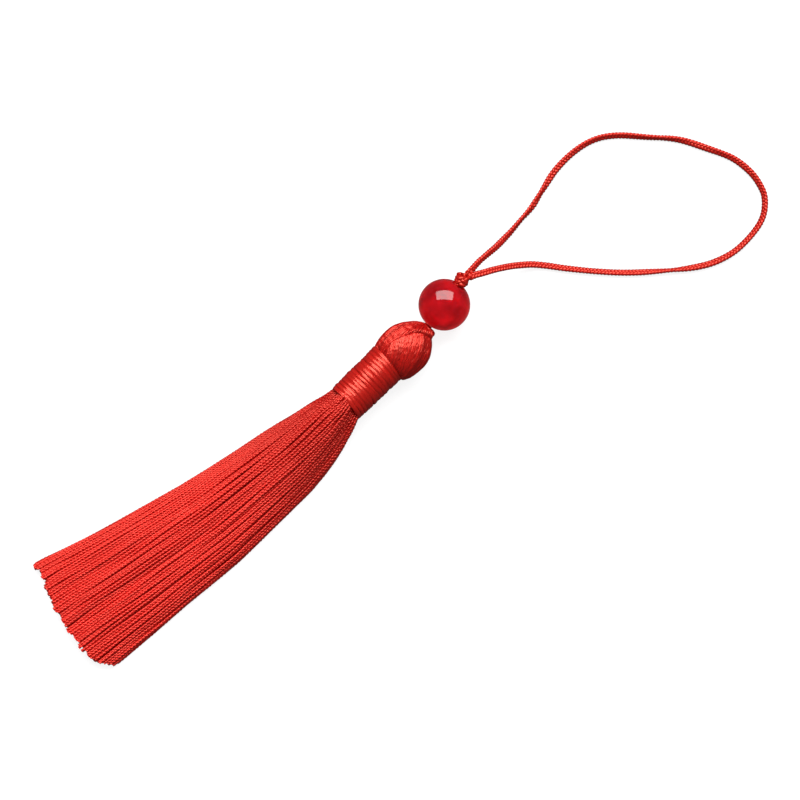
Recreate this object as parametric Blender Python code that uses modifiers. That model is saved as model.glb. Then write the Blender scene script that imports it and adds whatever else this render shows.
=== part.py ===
"""Silk tassel with a drilled bead and a hanging loop, lying on a flat surface.

+X runs from the cut ends of the skirt to the loop, +Y across, +Z up, and the surface is z = 0.
Sizes are in millimetres here and become metres through MM. Each sub-part is one object:
thread_hank, neck_binding, hanging_cord, bead and loop.
"""

import math
import random

import bmesh
import bpy
from mathutils import Matrix, Vector

MM = 0.001
GAP = 0.3  # between pieces that touch on the real tassel


def direction(heading, tip_up):
    """The unit vector that points this way: heading from +X towards +Y, tip_up from level."""
    level = math.cos(tip_up)
    return Vector((level * math.cos(heading), level * math.sin(heading), math.sin(tip_up)))



# Neck: the bound stretch, a straight axis from the skirt to the head.
NECK_START = Vector((13.9, -0.85, 3.62))
NECK_END = Vector((22.3, -0.05, 3.92))
CORE_RADIUS = 2.45
BINDING_INNER = CORE_RADIUS + GAP
BINDING_RADIUS = 3.15  # bottom of the grooves, at mid-length
BINDING_FLARE = 0.12  # the winding is a little wider at both ends
TURN_COUNT = 14
TURN_POINTS = 3  # of the profile, for each turn
TURN_HEIGHT = 0.15  # how far a turn of the winding thread stands out
BINDING_SIDES = 20
SHOULDER_RADIUS = 3.3  # threads that swell out just past the binding
SHOULDER_LENGTH = 1.2
SHOULDER_STEP = 0.05  # along the axis, where the core widens to the shoulder
CORE_SIDES = 24

# Head: the folded end of the hank, a ball with two bundles of thread parted by a crease.
HEAD_CENTRE = Vector((25.9, -0.13, 3.95))
HEAD_RADII = Vector((4.10, 4.08, 4.25))  # across, up, along the neck axis
HEAD_SEGMENTS = 24
HEAD_RINGS = 16
CREASE_DEPTH = 0.55
CREASE_SIDE = math.radians(19)  # from straight up, towards +Y
CREASE_WIDTH = math.radians(20)
CREASE_POLAR = math.radians(80)  # middle of the crease, from the cord's end of the ball
CREASE_SPAN = math.radians(38)

# Skirt: threads in columns across and rows up. A section is the outline of the whole skirt at one x.
COLUMNS = 36
ROWS = 6
# fall and narrow round its sides, flat says how level its underside is, wide and tall are a thread's share
# of its room, and brick lifts every other column by half a row.
SECTION_COLUMNS = (
    "x", "y_low", "y_high", "z_low", "z_top", "fall", "narrow", "flat", "wide", "tall", "brick",
)
SECTIONS = (
    (12.95, -4.05, 2.35, 0.55, 6.60, 0.50, 0.50, 0.0, 1.60, 0.42, 1.0),
    (9.50, -5.75, 2.95, 0.00, 6.45, 0.55, 0.40, 0.6, 1.45, 0.42, 1.0),
    (2.00, -7.55, 3.80, 0.00, 5.45, 0.62, 0.30, 1.0, 1.15, 0.42, 1.0),
    (-15.0, -9.45, 5.60, 0.00, 4.30, 0.66, 0.25, 1.0, 0.84, 0.44, 1.0),
    (-41.2, -10.05, 10.45, 0.00, 3.40, 0.66, 0.20, 1.0, 0.82, 0.72, 0.0),
)
EDGE_PLACE = 0.985  # of the outermost columns
CUT_X = -41.0  # longest tips
CUT_MIDDLE = -0.35  # place across of the longest threads
CUT_RECESS_HIGH = 1.8  # how much shorter the outermost threads are, on the +Y side
CUT_RECESS_LOW = 2.4  # and on the -Y side
CUT_JITTER = 0.45
SPACING_JITTER = 0.22
CLUMP_HEIGHT = 0.07  # of the skirt's height
CLUMP_WAVES = ((0.7, 7.5, 0.8), (0.3, 16.0, 2.1))  # share, turns across, start
SKIRT_SEED = 7

# Bead, drilled along an axis that tips up towards the loop.
BEAD_CENTRE = Vector((35.05, 1.6, 4.02))
BEAD_RADIUS = 4.0
BEAD_SEGMENTS = 28
BEAD_RINGS = 18
BORE_RADIUS = 1.1
BORE_TIP_UP = math.radians(24)
BORE_HEADING = math.radians(11)
BORE_SIDES = 16
BORE_AXIS = direction(BORE_HEADING, BORE_TIP_UP)

# Cord: a round braid, doubled through the bead and knotted on both sides of it.
CORD_DIAMETER = 1.05
CORD_RADIUS = CORD_DIAMETER / 2
DOUBLED_OFFSET = CORD_RADIUS * 0.94  # of each strand's middle line, so that the two stay joined
SQUEEZE = 0.74  # how far the bore squeezes the doubled cord
MOUTH_SQUEEZE = 0.85  # and at its mouths
MOUTH_INSIDE = 3.7  # from the bead's centre, where the full squeeze starts
MOUTH_OUTSIDE = 4.3
KNOT_TURNS = 2.0
KNOT_FILL = 0.38  # how far the knot's packed middle reaches past its turns' middle line
KNOT_STEPS = 13  # points in a turn
KNOT_TUCK = 0.3  # how near the middle line both ends of the turns are tucked
LOWER_KNOT_AT = -5.35  # along the bore axis from the bead's centre
LOWER_KNOT_SHIFT = Vector((0.0, -0.25, 0.50))
LOWER_KNOT_RADII = (0.88, 0.62)  # of the turns' middle line, across and up
LOWER_KNOT_PITCH = 1.12
UPPER_KNOT_AT = 5.0
UPPER_KNOT_RADII = (0.72, 0.68)
UPPER_KNOT_PITCH = 0.95
POCKET_RADIUS = 1.95
EXIT_AXIS = direction(math.radians(-5), math.radians(5))  # the two strands leave the upper knot this way
EXIT_LENGTH = 1.35
TAIL_LENGTH = 0.6  # of the doubled cord inside the lower knot, past its middle

# Loop: its middle line through points chosen along it, from the knot and back to it.
STRAND_SPREAD = 0.60  # half the distance between the two strands where they leave the knot
LEAD_LENGTH = 0.7  # straight out of the knot
LOOP_Z = CORD_RADIUS + 0.02
LOOP_ROUTE = (
    (42.3, 3.10, 5.90),
    (43.5, 3.38, 5.25),
    (45.4, 3.62, 4.15),
    (47.3, 3.90, 2.95),
    (49.3, 4.36, 1.65),
    (51.2, 4.76, 0.90),
    (53.5, 5.28, 0.60),
    (56.2, 5.80, LOOP_Z),
    (59.3, 6.90, LOOP_Z),
    (63.0, 8.11, LOOP_Z),
    (67.1, 8.57, LOOP_Z),
    (70.8, 8.07, LOOP_Z),
    (74.0, 6.37, LOOP_Z),
    (77.5, 3.17, LOOP_Z),
    (81.1, -0.27, LOOP_Z),
    (83.8, -4.43, LOOP_Z),
    (85.7, -7.90, LOOP_Z),
    (86.4, -11.2, LOOP_Z),
    (86.2, -13.9, LOOP_Z),
    (85.4, -16.0, LOOP_Z),
    (83.4, -18.0, LOOP_Z),
    (80.6, -19.1, LOOP_Z),
    (76.5, -19.6, LOOP_Z),
    (72.8, -19.0, LOOP_Z),
    (69.6, -17.6, LOOP_Z),
    (65.8, -15.2, LOOP_Z),
    (61.1, -11.8, LOOP_Z),
    (57.4, -8.55, LOOP_Z),
    (54.1, -5.27, LOOP_Z),
    (51.9, -2.90, 0.62),
    (50.2, -1.40, 0.95),
    (48.5, -0.44, 1.75),
    (47.2, 0.12, 2.60),
    (45.6, 0.64, 3.75),
    (43.9, 1.04, 4.90),
    (42.1, 1.42, 5.90),
)
LOOP_SPACING = 2.2
TUBE_RESOLUTION = 2  # 8 sides
FINE_STEPS = 20  # between two route points, before the points are spaced out evenly
SHARP_ANGLE = math.radians(50)

# Finish of each sub-part: name, linear colour, roughness.
HANK_FINISH = ("silk_thread", (0.78, 0.020, 0.016), 0.42)
BINDING_FINISH = ("winding_thread", (0.74, 0.018, 0.014), 0.38)
CORD_FINISH = ("knotted_cord", (0.72, 0.018, 0.014), 0.55)
LOOP_FINISH = ("loop_cord", (0.72, 0.020, 0.016), 0.55)
BEAD_FINISH = ("polished_bead", (0.42, 0.003, 0.006), 0.08)


def new_collection(name):
    collection = bpy.data.collections.new(name)
    bpy.context.scene.collection.children.link(collection)
    return collection


def finish(spec):
    """The Principled material of one finish."""
    name, colour, roughness = spec
    made = bpy.data.materials.new(name)
    made.use_nodes = True
    shader = made.node_tree.nodes["Principled BSDF"]
    shader.inputs["Base Color"].default_value = (*colour, 1)
    shader.inputs["Roughness"].default_value = roughness
    shader.inputs["Metallic"].default_value = 0
    made.diffuse_color = (*colour, 1)
    return made


def add_part(name, data, collection, spec):
    part = bpy.data.objects.new(name, data)
    data.materials.append(finish(spec))
    collection.objects.link(part)
    return part


def add_helper(name, data, collection):
    """A shape that another one is cut by or joined to, hidden itself."""
    helper = bpy.data.objects.new(name, data)
    collection.objects.link(helper)
    helper.hide_render = True
    helper.display_type = "WIRE"
    return helper


def boolean(target, other, operation, solver="EXACT", crosses_itself=False):
    step = target.modifiers.new(f"{operation.lower()}_{other.name}", "BOOLEAN")
    step.operation = operation
    step.solver = solver
    if crosses_itself:
        step.use_self = True
    step.object = other


def pose_along(axis, place):
    """A matrix whose +Z lies along axis and whose +Y stays as near straight up as it can."""
    ahead = axis.normalized()
    across = Vector((0, 0, 1)).cross(ahead).normalized()
    upwards = ahead.cross(across)
    turned = Matrix((across, upwards, ahead)).transposed().to_4x4()
    return Matrix.Translation(place * MM) @ turned


def smooth_points(route, spacing):
    """Points about one spacing apart on a smooth curve through the route's points."""
    points = [Vector(p) for p in route]
    ends = [2 * points[0] - points[1], *points, 2 * points[-1] - points[-2]]
    fine = []
    for a, b, c, d in zip(ends, ends[1:], ends[2:], ends[3:]):
        for step in range(FINE_STEPS):
            t = step / FINE_STEPS
            fine.append(0.5 * (
                2 * b
                + (c - a) * t
                + (2 * a - 5 * b + 4 * c - d) * t ** 2
                + (3 * b - a - 3 * c + d) * t ** 3
            ))
    fine.append(points[-1])
    lengths = [0.0]
    for a, b in zip(fine, fine[1:]):
        lengths.append(lengths[-1] + (b - a).length)
    count = max(2, round(lengths[-1] / spacing))
    picked = []
    at = 0
    for i in range(count + 1):
        wanted = lengths[-1] * i / count
        while at < len(fine) - 2 and lengths[at + 1] < wanted:
            at += 1
        share = (wanted - lengths[at]) / (lengths[at + 1] - lengths[at])
        picked.append(fine[at].lerp(fine[at + 1], share))
    return picked


def tube_curve(name, points, radii=None):
    """A POLY curve through the points, in metres, round unless it is given another bevel."""
    data = bpy.data.curves.new(name, "CURVE")
    data.dimensions = "3D"
    data.twist_mode = "Z_UP"
    data.use_fill_caps = True
    data.bevel_depth = CORD_RADIUS * MM
    data.bevel_resolution = TUBE_RESOLUTION
    spline = data.splines.new("POLY")
    spline.points.add(len(points) - 1)
    for i, point in enumerate(points):
        spline.points[i].co = (*(point * MM), 1)
        spline.points[i].radius = radii[i] if radii else 1
    return data


def closed_mesh(curve_object):
    """The curve's tube as a mesh with its caps welded. The curve is removed."""
    bpy.context.view_layer.update()
    graph = bpy.context.evaluated_depsgraph_get()
    mesh = bpy.data.meshes.new_from_object(curve_object.evaluated_get(graph))
    work = bmesh.new()
    work.from_mesh(mesh)
    bmesh.ops.remove_doubles(work, verts=work.verts, dist=1e-6)
    bmesh.ops.recalc_face_normals(work, faces=work.faces)
    work.to_mesh(mesh)
    work.free()
    bpy.data.objects.remove(curve_object)
    return mesh


def section_at(x):
    """The skirt's section at x, as a dictionary of the table's columns."""
    rows = [dict(zip(SECTION_COLUMNS, row)) for row in SECTIONS]
    for near, far in zip(rows, rows[1:]):
        if x >= far["x"]:
            break
    share = (near["x"] - x) / (near["x"] - far["x"])
    return {key: near[key] + (far[key] - near[key]) * share for key in SECTION_COLUMNS}


def clump(across):
    """How far the skirt's top rises or falls at this place across, from -1 to 1."""
    return sum(share * math.sin(turns * across + start) for share, turns, start in CLUMP_WAVES)


def skirt_point(section, across, up):
    """A point of the section: across runs from -1 to 1, up from 0 at the floor to 1 at the top."""
    level = 2 * up - 1
    squeeze = level if level > 0 else level * (1 - section["flat"])
    middle = (section["y_low"] + section["y_high"]) / 2
    half = (section["y_high"] - section["y_low"]) / 2
    y = middle + half * across * math.sqrt(1 - section["narrow"] * squeeze ** 2)
    half_height = (section["z_top"] - section["z_low"]) / 2
    bow = math.sqrt(1 - section["fall"] * across ** 2)
    lowest = half_height * (1 - bow) * (1 - section["flat"])
    z = section["z_low"] + lowest + half_height * bow * (level + 1)
    swell = 1 + CLUMP_HEIGHT * section["flat"] * clump(across)
    return y, z * swell


def column_places(rng):
    """Places of the columns across the skirt, unevenly spaced, with each one's free width."""
    gaps = [1 + rng.uniform(-SPACING_JITTER, SPACING_JITTER) for _ in range(COLUMNS - 1)]
    scale = 2 * EDGE_PLACE / sum(gaps)
    places = [-EDGE_PLACE]
    for gap in gaps:
        places.append(places[-1] + gap * scale)
    beside = [gaps[0], *gaps, gaps[-1]]
    widths = [min(before, after) * scale for before, after in zip(beside, beside[1:])]
    return list(zip(places, widths))


def cut_at(place):
    """Where the threads at this place across are cut, before each one's own difference."""
    if place > CUT_MIDDLE:
        return CUT_X + CUT_RECESS_HIGH * ((place - CUT_MIDDLE) / (1 - CUT_MIDDLE)) ** 2
    return CUT_X + CUT_RECESS_LOW * ((CUT_MIDDLE - place) / (1 + CUT_MIDDLE)) ** 3


def strand_corners(section, place, width, column, row):
    """The four corners of one thread where it crosses the section."""
    pitch = 1 / (ROWS + 0.5)
    lift = 0.5 * section["brick"] * (column % 2)
    low = (row + lift) * pitch
    high = low + section["tall"] * pitch
    half = section["wide"] * width / 2
    corners = ((place - half, low), (place + half, low), (place + half, high), (place - half, high))
    return [Vector((section["x"], *skirt_point(section, a, u))) * MM for a, u in corners]


def loft(work, rings):
    """Side faces between rings of equal count, and a cap at each end."""
    made = [[work.verts.new(point) for point in ring] for ring in rings]
    for near, far in zip(made, made[1:]):
        for i in range(len(near)):
            j = (i + 1) % len(near)
            work.faces.new((near[i], near[j], far[j], far[i]))
    work.faces.new(made[0][::-1])
    work.faces.new(made[-1])


def skirt_mesh():
    """Every thread of the skirt, each a loft of four-cornered sections that ends at its own cut."""
    rng = random.Random(SKIRT_SEED)
    work = bmesh.new()
    for column, (place, width) in enumerate(column_places(rng)):
        for row in range(ROWS):
            cut = cut_at(place) + rng.uniform(0, CUT_JITTER)
            stations = [*(section[0] for section in SECTIONS[:-1]), cut]
            sections = [section_at(x) for x in stations]
            loft(work, [strand_corners(s, place, width, column, row) for s in sections])
    bmesh.ops.recalc_face_normals(work, faces=work.faces)
    mesh = bpy.data.meshes.new("skirt")
    work.to_mesh(mesh)
    work.free()
    return mesh


def core_mesh(profile):
    """The core as rings of (radius, height) pairs about Z, its two ends each one flat face."""
    work = bmesh.new()
    turns = [2 * math.pi * i / CORE_SIDES for i in range(CORE_SIDES)]
    loft(work, [
        [Vector((radius * math.cos(a), radius * math.sin(a), height)) * MM for a in turns]
        for radius, height in profile
    ])
    bmesh.ops.recalc_face_normals(work, faces=work.faces)
    mesh = bpy.data.meshes.new("core")
    work.to_mesh(mesh)
    work.free()
    return mesh


def sleeve_profile(name, profile):
    """A closed outline of (radius, height) pairs beside the Z axis, ready to be turned about it."""
    mesh = bpy.data.meshes.new(name)
    points = [(radius * MM, 0, height * MM) for radius, height in profile]
    edges = [(i, (i + 1) % len(points)) for i in range(len(points))]
    mesh.from_pydata(points, edges, [])
    return mesh


def add_turning(part, sides):
    screw = part.modifiers.new("turn", "SCREW")
    screw.axis = "Z"
    screw.angle = 2 * math.pi
    screw.steps = sides
    screw.render_steps = sides
    screw.use_merge_vertices = True
    screw.merge_threshold = 1e-6


def head_mesh():
    """The head ball with its crease, in place, flat where it rests."""
    work = bmesh.new()
    bmesh.ops.create_uvsphere(work, u_segments=HEAD_SEGMENTS, v_segments=HEAD_RINGS, radius=1)
    for vertex in work.verts:
        out = vertex.co.normalized()
        around = math.atan2(-out.x, out.y) - CREASE_SIDE
        around = math.atan2(math.sin(around), math.cos(around))
        polar = math.acos(max(-1, min(1, out.z))) - CREASE_POLAR
        crease = CREASE_DEPTH * math.exp(-(around / CREASE_WIDTH) ** 2 - (polar / CREASE_SPAN) ** 2)
        vertex.co = Vector([o * r for o, r in zip(out, HEAD_RADII)]) * MM - out * crease * MM
    work.transform(pose_along(NECK_END - NECK_START, HEAD_CENTRE))
    every = [*work.verts, *work.edges, *work.faces]
    bmesh.ops.bisect_plane(work, geom=every, plane_co=(0, 0, 0), plane_no=(0, 0, 1), clear_inner=True)
    rim = [edge for edge in work.edges if edge.is_boundary]
    bmesh.ops.contextual_create(work, geom=rim)
    bmesh.ops.recalc_face_normals(work, faces=work.faces)
    mesh = bpy.data.meshes.new("head")
    work.to_mesh(mesh)
    work.free()
    return mesh


def make_hank(parts, helpers):
    """The hank: round core and shoulder on the neck's axis, joined to the skirt's threads and the head."""
    into_head = (HEAD_CENTRE - NECK_START).length
    core = core_mesh((
        (CORE_RADIUS, into_head),
        (CORE_RADIUS, -GAP),
        (SHOULDER_RADIUS, -GAP - SHOULDER_STEP),
        (SHOULDER_RADIUS, -GAP - SHOULDER_LENGTH),
    ))
    hank = add_part("thread_hank", core, parts, HANK_FINISH)
    hank.matrix_world = pose_along(NECK_END - NECK_START, NECK_START)
    # The exact solver drops the shoulder's end face, which hundreds of threads leave, so all three
    # steps use the manifold solver on closed meshes.
    boolean(hank, add_helper("skirt_threads", skirt_mesh(), helpers), "UNION", solver="MANIFOLD")
    boolean(hank, add_helper("head_ball", head_mesh(), helpers), "UNION", solver="MANIFOLD")
    pocket = bmesh.new()
    bmesh.ops.create_uvsphere(pocket, u_segments=16, v_segments=10, radius=POCKET_RADIUS * MM)
    mesh = bpy.data.meshes.new("pocket")
    pocket.to_mesh(mesh)
    pocket.free()
    cutter = add_helper("knot_pocket", mesh, helpers)
    cutter.location = lower_knot_place() * MM
    boolean(hank, cutter, "DIFFERENCE", solver="MANIFOLD")
    return hank


def make_binding(parts):
    """The winding: a sleeve with one rounded ridge for each turn of its thread."""
    length = (NECK_END - NECK_START).length
    profile = [(BINDING_INNER, 0), (BINDING_INNER, length)]
    count = TURN_COUNT * TURN_POINTS
    for i in range(count + 1):
        share = 1 - i / count
        ridge = TURN_HEIGHT if i % TURN_POINTS else 0
        flare = BINDING_FLARE * (2 * share - 1) ** 2
        profile.append((BINDING_RADIUS + flare + ridge, length * share))
    binding = add_part("neck_binding", sleeve_profile("binding", profile), parts, BINDING_FINISH)
    binding.matrix_world = pose_along(NECK_END - NECK_START, NECK_START)
    add_turning(binding, BINDING_SIDES)
    return binding


def make_bead(parts, helpers):
    ball = bmesh.new()
    bmesh.ops.create_uvsphere(ball, u_segments=BEAD_SEGMENTS, v_segments=BEAD_RINGS, radius=BEAD_RADIUS * MM)
    mesh = bpy.data.meshes.new("bead")
    ball.to_mesh(mesh)
    ball.free()
    bead = add_part("bead", mesh, parts, BEAD_FINISH)
    bead.matrix_world = pose_along(BORE_AXIS, BEAD_CENTRE)
    drill = bmesh.new()
    bmesh.ops.create_cone(
        drill, cap_ends=True, segments=BORE_SIDES, radius1=BORE_RADIUS * MM, radius2=BORE_RADIUS * MM,
        depth=3 * BEAD_RADIUS * MM,
    )
    mesh = bpy.data.meshes.new("drill")
    drill.to_mesh(mesh)
    drill.free()
    cutter = add_helper("drill", mesh, helpers)
    cutter.matrix_world = bead.matrix_world
    boolean(bead, cutter, "DIFFERENCE")
    return bead


def lower_knot_place():
    return BEAD_CENTRE + BORE_AXIS * LOWER_KNOT_AT + LOWER_KNOT_SHIFT


def upper_knot_place():
    return BEAD_CENTRE + BORE_AXIS * UPPER_KNOT_AT


def knot_route(place, radii, pitch):
    """The outer turns of a knot, wound about the bore's direction, ends turned in to the middle."""
    frame = pose_along(BORE_AXIS, Vector((0, 0, 0))).to_3x3()
    count = round(KNOT_TURNS * KNOT_STEPS)
    route = []
    for i in range(count + 1):
        share = i / count
        angle = 2 * math.pi * KNOT_TURNS * share
        turned_in = 1 if 0 < i < count else KNOT_TUCK
        height = (share - 0.5) * pitch * (KNOT_TURNS - 1)
        local = Vector((
            radii[0] * turned_in * math.cos(angle),
            radii[1] * turned_in * math.sin(angle),
            height,
        ))
        route.append(place + frame @ local)
    return route


def knot_heart(place, radii, pitch):
    """The packed middle of a knot, which its outer turns lie round."""
    heart = bmesh.new()
    bmesh.ops.create_uvsphere(heart, u_segments=12, v_segments=8, radius=1)
    height = pitch * KNOT_TURNS / 2
    heart.transform(Matrix.Diagonal((*[(r + KNOT_FILL) * MM for r in radii], height * MM, 1)))
    heart.transform(pose_along(BORE_AXIS, place))
    mesh = bpy.data.meshes.new("heart")
    heart.to_mesh(mesh)
    heart.free()
    return mesh


def doubled_outline(name, helpers):
    """The section of two cords side by side: two overlapping circles, as a closed flat curve."""
    data = bpy.data.curves.new(name, "CURVE")
    data.dimensions = "2D"
    spline = data.splines.new("POLY")
    lobe = [math.radians(a) for a in (-115, -69, -23, 23, 69, 115)]
    points = [(DOUBLED_OFFSET + CORD_RADIUS * math.cos(a), CORD_RADIUS * math.sin(a)) for a in lobe]
    points += [(-x, -y) for x, y in points]
    spline.points.add(len(points) - 1)
    for vertex, (x, y) in zip(spline.points, points):
        vertex.co = (x * MM, y * MM, 0, 1)
    spline.use_cyclic_u = True
    return add_helper(name, data, helpers)


def make_cord(parts, helpers):
    """The doubled cord from the lower knot through the bead to the upper knot, with both knots' turns."""
    lower = lower_knot_place()
    upper = upper_knot_place()
    route = (
        (lower - BORE_AXIS * TAIL_LENGTH, 1.0),
        (lower, 1.0),
        (BEAD_CENTRE - BORE_AXIS * MOUTH_OUTSIDE, MOUTH_SQUEEZE),
        (BEAD_CENTRE - BORE_AXIS * MOUTH_INSIDE, SQUEEZE),
        (BEAD_CENTRE, SQUEEZE),
        (BEAD_CENTRE + BORE_AXIS * MOUTH_INSIDE, SQUEEZE),
        (BEAD_CENTRE + BORE_AXIS * MOUTH_OUTSIDE, MOUTH_SQUEEZE),
        (upper, 1.0),
        (upper + EXIT_AXIS * EXIT_LENGTH, 1.0),
    )
    data = tube_curve("doubled_cord", [point for point, _ in route], [radius for _, radius in route])
    data.bevel_mode = "OBJECT"
    data.bevel_object = doubled_outline("doubled_outline", helpers)
    through = bpy.data.objects.new("doubled_cord", data)
    parts.objects.link(through)
    cord = add_part("hanging_cord", closed_mesh(through), parts, CORD_FINISH)
    for name, place, radii, pitch in (
        ("lower_knot", lower, LOWER_KNOT_RADII, LOWER_KNOT_PITCH),
        ("upper_knot", upper, UPPER_KNOT_RADII, UPPER_KNOT_PITCH),
    ):
        turns = bpy.data.objects.new(name, tube_curve(name, knot_route(place, radii, pitch)))
        parts.objects.link(turns)
        boolean(cord, add_helper(f"{name}_heart", knot_heart(place, radii, pitch), helpers), "UNION")
        boolean(cord, add_helper(name, closed_mesh(turns), helpers), "UNION", crosses_itself=True)
    return cord


def make_loop(parts):
    """The loop: one tube whose two ends meet the two strands at the upper knot."""
    across = Vector((0, 0, 1)).cross(EXIT_AXIS).normalized() * STRAND_SPREAD
    start = upper_knot_place() + EXIT_AXIS * (EXIT_LENGTH + GAP)
    lead = start + EXIT_AXIS * LEAD_LENGTH
    route = [start + across, lead + across, *LOOP_ROUTE, lead - across, start - across]
    data = tube_curve("loop", smooth_points(route, LOOP_SPACING))
    return add_part("loop", data, parts, LOOP_FINISH)


def shade_round(part):
    if part.type == "MESH":
        part.data.shade_smooth()
        part.data.set_sharp_from_angle(angle=SHARP_ANGLE)


def main():
    for old in list(bpy.data.objects):
        bpy.data.objects.remove(old, do_unlink=True)
    parts = new_collection("silk_tassel")
    helpers = new_collection("cutters")
    helpers.hide_render = True
    made = [
        make_hank(parts, helpers),
        make_binding(parts),
        make_bead(parts, helpers),
        make_cord(parts, helpers),
        make_loop(parts),
    ]
    for part in made:
        shade_round(part)


main()
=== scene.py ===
# %% [markdown]
# # A silk tassel with a polished bead
# A hanging tassel of twisted red thread. A long hank is folded over a cord, tied off below the fold to make
# a round head, and left to fall as a skirt. Above the head the doubled cord is knotted, passes through a
# polished bead, is knotted again, and opens into a loop. The whole tassel is laid flat on a pale table.
# Each step below says what a piece is on the real object and how it is made here. All rules are in
# millimetres and are turned to metres where a mesh is made.

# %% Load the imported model
import math

import bmesh
import bpy
import numpy as np
from mathutils import Matrix, Vector


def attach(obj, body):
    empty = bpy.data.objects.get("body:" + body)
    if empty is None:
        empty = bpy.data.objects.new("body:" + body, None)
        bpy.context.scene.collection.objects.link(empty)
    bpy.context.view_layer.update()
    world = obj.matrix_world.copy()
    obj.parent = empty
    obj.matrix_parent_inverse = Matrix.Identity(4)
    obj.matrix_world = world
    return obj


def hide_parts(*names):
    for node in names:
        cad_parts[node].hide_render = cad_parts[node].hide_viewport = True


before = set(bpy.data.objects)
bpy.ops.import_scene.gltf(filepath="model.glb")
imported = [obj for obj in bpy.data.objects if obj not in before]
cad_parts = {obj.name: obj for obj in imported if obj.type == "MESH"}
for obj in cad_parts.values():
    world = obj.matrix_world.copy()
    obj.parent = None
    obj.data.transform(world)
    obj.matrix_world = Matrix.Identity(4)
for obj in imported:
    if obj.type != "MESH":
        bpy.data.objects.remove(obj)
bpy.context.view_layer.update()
MM = 0.001
UP = np.array((0.0, 0.0, 1.0))

# %% [markdown]
# ## The camera
# The tassel is seen from almost straight above with a long lens, so that near and far parts keep their
# sizes. The camera is placed by the direction it looks from and its distance, which is easier to adjust
# than a matrix.


# %% The camera's directions
def towards(heading, tip):
    """The direction turned by heading from +X towards +Y and tipped up from level, both in degrees."""
    heading, tip = math.radians(heading), math.radians(tip)
    level = math.cos(tip)
    return np.array((math.cos(heading) * level, math.sin(heading) * level, math.sin(tip)))


VIEW_HEADING, VIEW_TIP = -129, 78
VIEW_BACK = towards(VIEW_HEADING, VIEW_TIP)  # from the tassel to the camera
VIEW_RIGHT = towards(VIEW_HEADING + 90, 0)
VIEW_UP = np.cross(VIEW_BACK, VIEW_RIGHT)
print("camera looks from", VIEW_BACK.round(3))

# %% Camera
LOOKED_AT = np.array((20.85, -5.10, 0.0))
VIEW_DISTANCE = 450
camera_data = bpy.data.cameras.new("camera")
camera_data.lens = 131.26
camera_data.sensor_width = 36
camera_data.sensor_fit = "HORIZONTAL"
camera_data.clip_start = 0.01
camera = bpy.data.objects.new("camera", camera_data)
camera.location = Vector((LOOKED_AT + VIEW_BACK * VIEW_DISTANCE) * MM)
camera.rotation_euler = Vector(-VIEW_BACK).to_track_quat("-Z", "Y").to_euler()
bpy.context.scene.collection.objects.link(camera)
bpy.context.scene.camera = camera
print("camera at", [round(x, 3) for x in camera.location])

# %% [markdown]
# ## Small helpers
# A colour is written as the sRGB hex that a colour picker gives, and a shader wants it linear. A node is
# added with its settings and its links in one call, which keeps each tree readable from top to bottom. The
# rest is plain vector arithmetic on lines, which are arrays with one row for each point.


# %% Helpers for colours, nodes and finishes
def linear(code):
    """An sRGB hex colour as linear red, green, blue and alpha."""
    parts = [int(code[i:i + 2], 16) / 255 for i in (1, 3, 5)]
    return (*[p / 12.92 if p <= 0.04045 else ((p + 0.055) / 1.055) ** 2.4 for p in parts], 1.0)


def add(tree, kind, settings=None, **inputs):
    """Adds a node. An input is a value or another node's output; a name's _ stands for a space."""
    node = tree.nodes.new(kind)
    for key, value in (settings or {}).items():
        setattr(node, key, value)
    for key, value in inputs.items():
        socket = node.inputs[int(key[1:])] if key[1:].isdigit() else node.inputs[key.replace("_", " ")]
        if isinstance(value, bpy.types.NodeSocket):
            tree.links.new(value, socket)
        else:
            socket.default_value = value
    return node


def new_finish(name, **values):
    """A material whose plain numbers and colours are set on its shader itself."""
    material = bpy.data.materials.new(name)
    material.use_nodes = True
    shader = material.node_tree.nodes["Principled BSDF"]
    for key, value in values.items():
        shader.inputs[key.replace("_", " ")].default_value = value
    return material, material.node_tree, shader


print("mid grey, linear:", round(linear("#808080")[0], 3))


# %% Helpers for directions
def unit(vectors):
    return vectors / np.maximum(np.linalg.norm(vectors, axis=-1, keepdims=True), 1e-12)


def directions(line):
    return unit(np.gradient(line, axis=0))


def square_to(vectors, ahead):
    """The vectors with what lies along the line taken out of them."""
    return unit(vectors - (vectors * ahead).sum(-1, keepdims=True) * ahead)


def carried(first, line):
    """A direction carried along a line with as little turning as the line's bends allow."""
    ahead = directions(line)
    out = [square_to(np.array(first, float), ahead[0])]
    for i in range(1, len(line)):
        out.append(square_to(out[-1], ahead[i]))
    return np.array(out)


def smooth_step(x):
    x = np.clip(x, 0, 1)
    return x * x * (3 - 2 * x)


print("a quarter of the way, eased:", smooth_step(0.25))


# %% Helpers for lines
def lengths_along(line):
    """The distance along a line at each of its points."""
    steps = np.linalg.norm(np.diff(line, axis=0), axis=1)
    return np.concatenate([[0.0], np.cumsum(steps)])


def at_spacing(line, spacing):
    """The line again, with points about one spacing apart."""
    along = lengths_along(line)
    places = np.linspace(0, along[-1], max(2, round(along[-1] / spacing)) + 1)
    return np.stack([np.interp(places, along, line[:, k]) for k in range(3)], axis=1)


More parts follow.
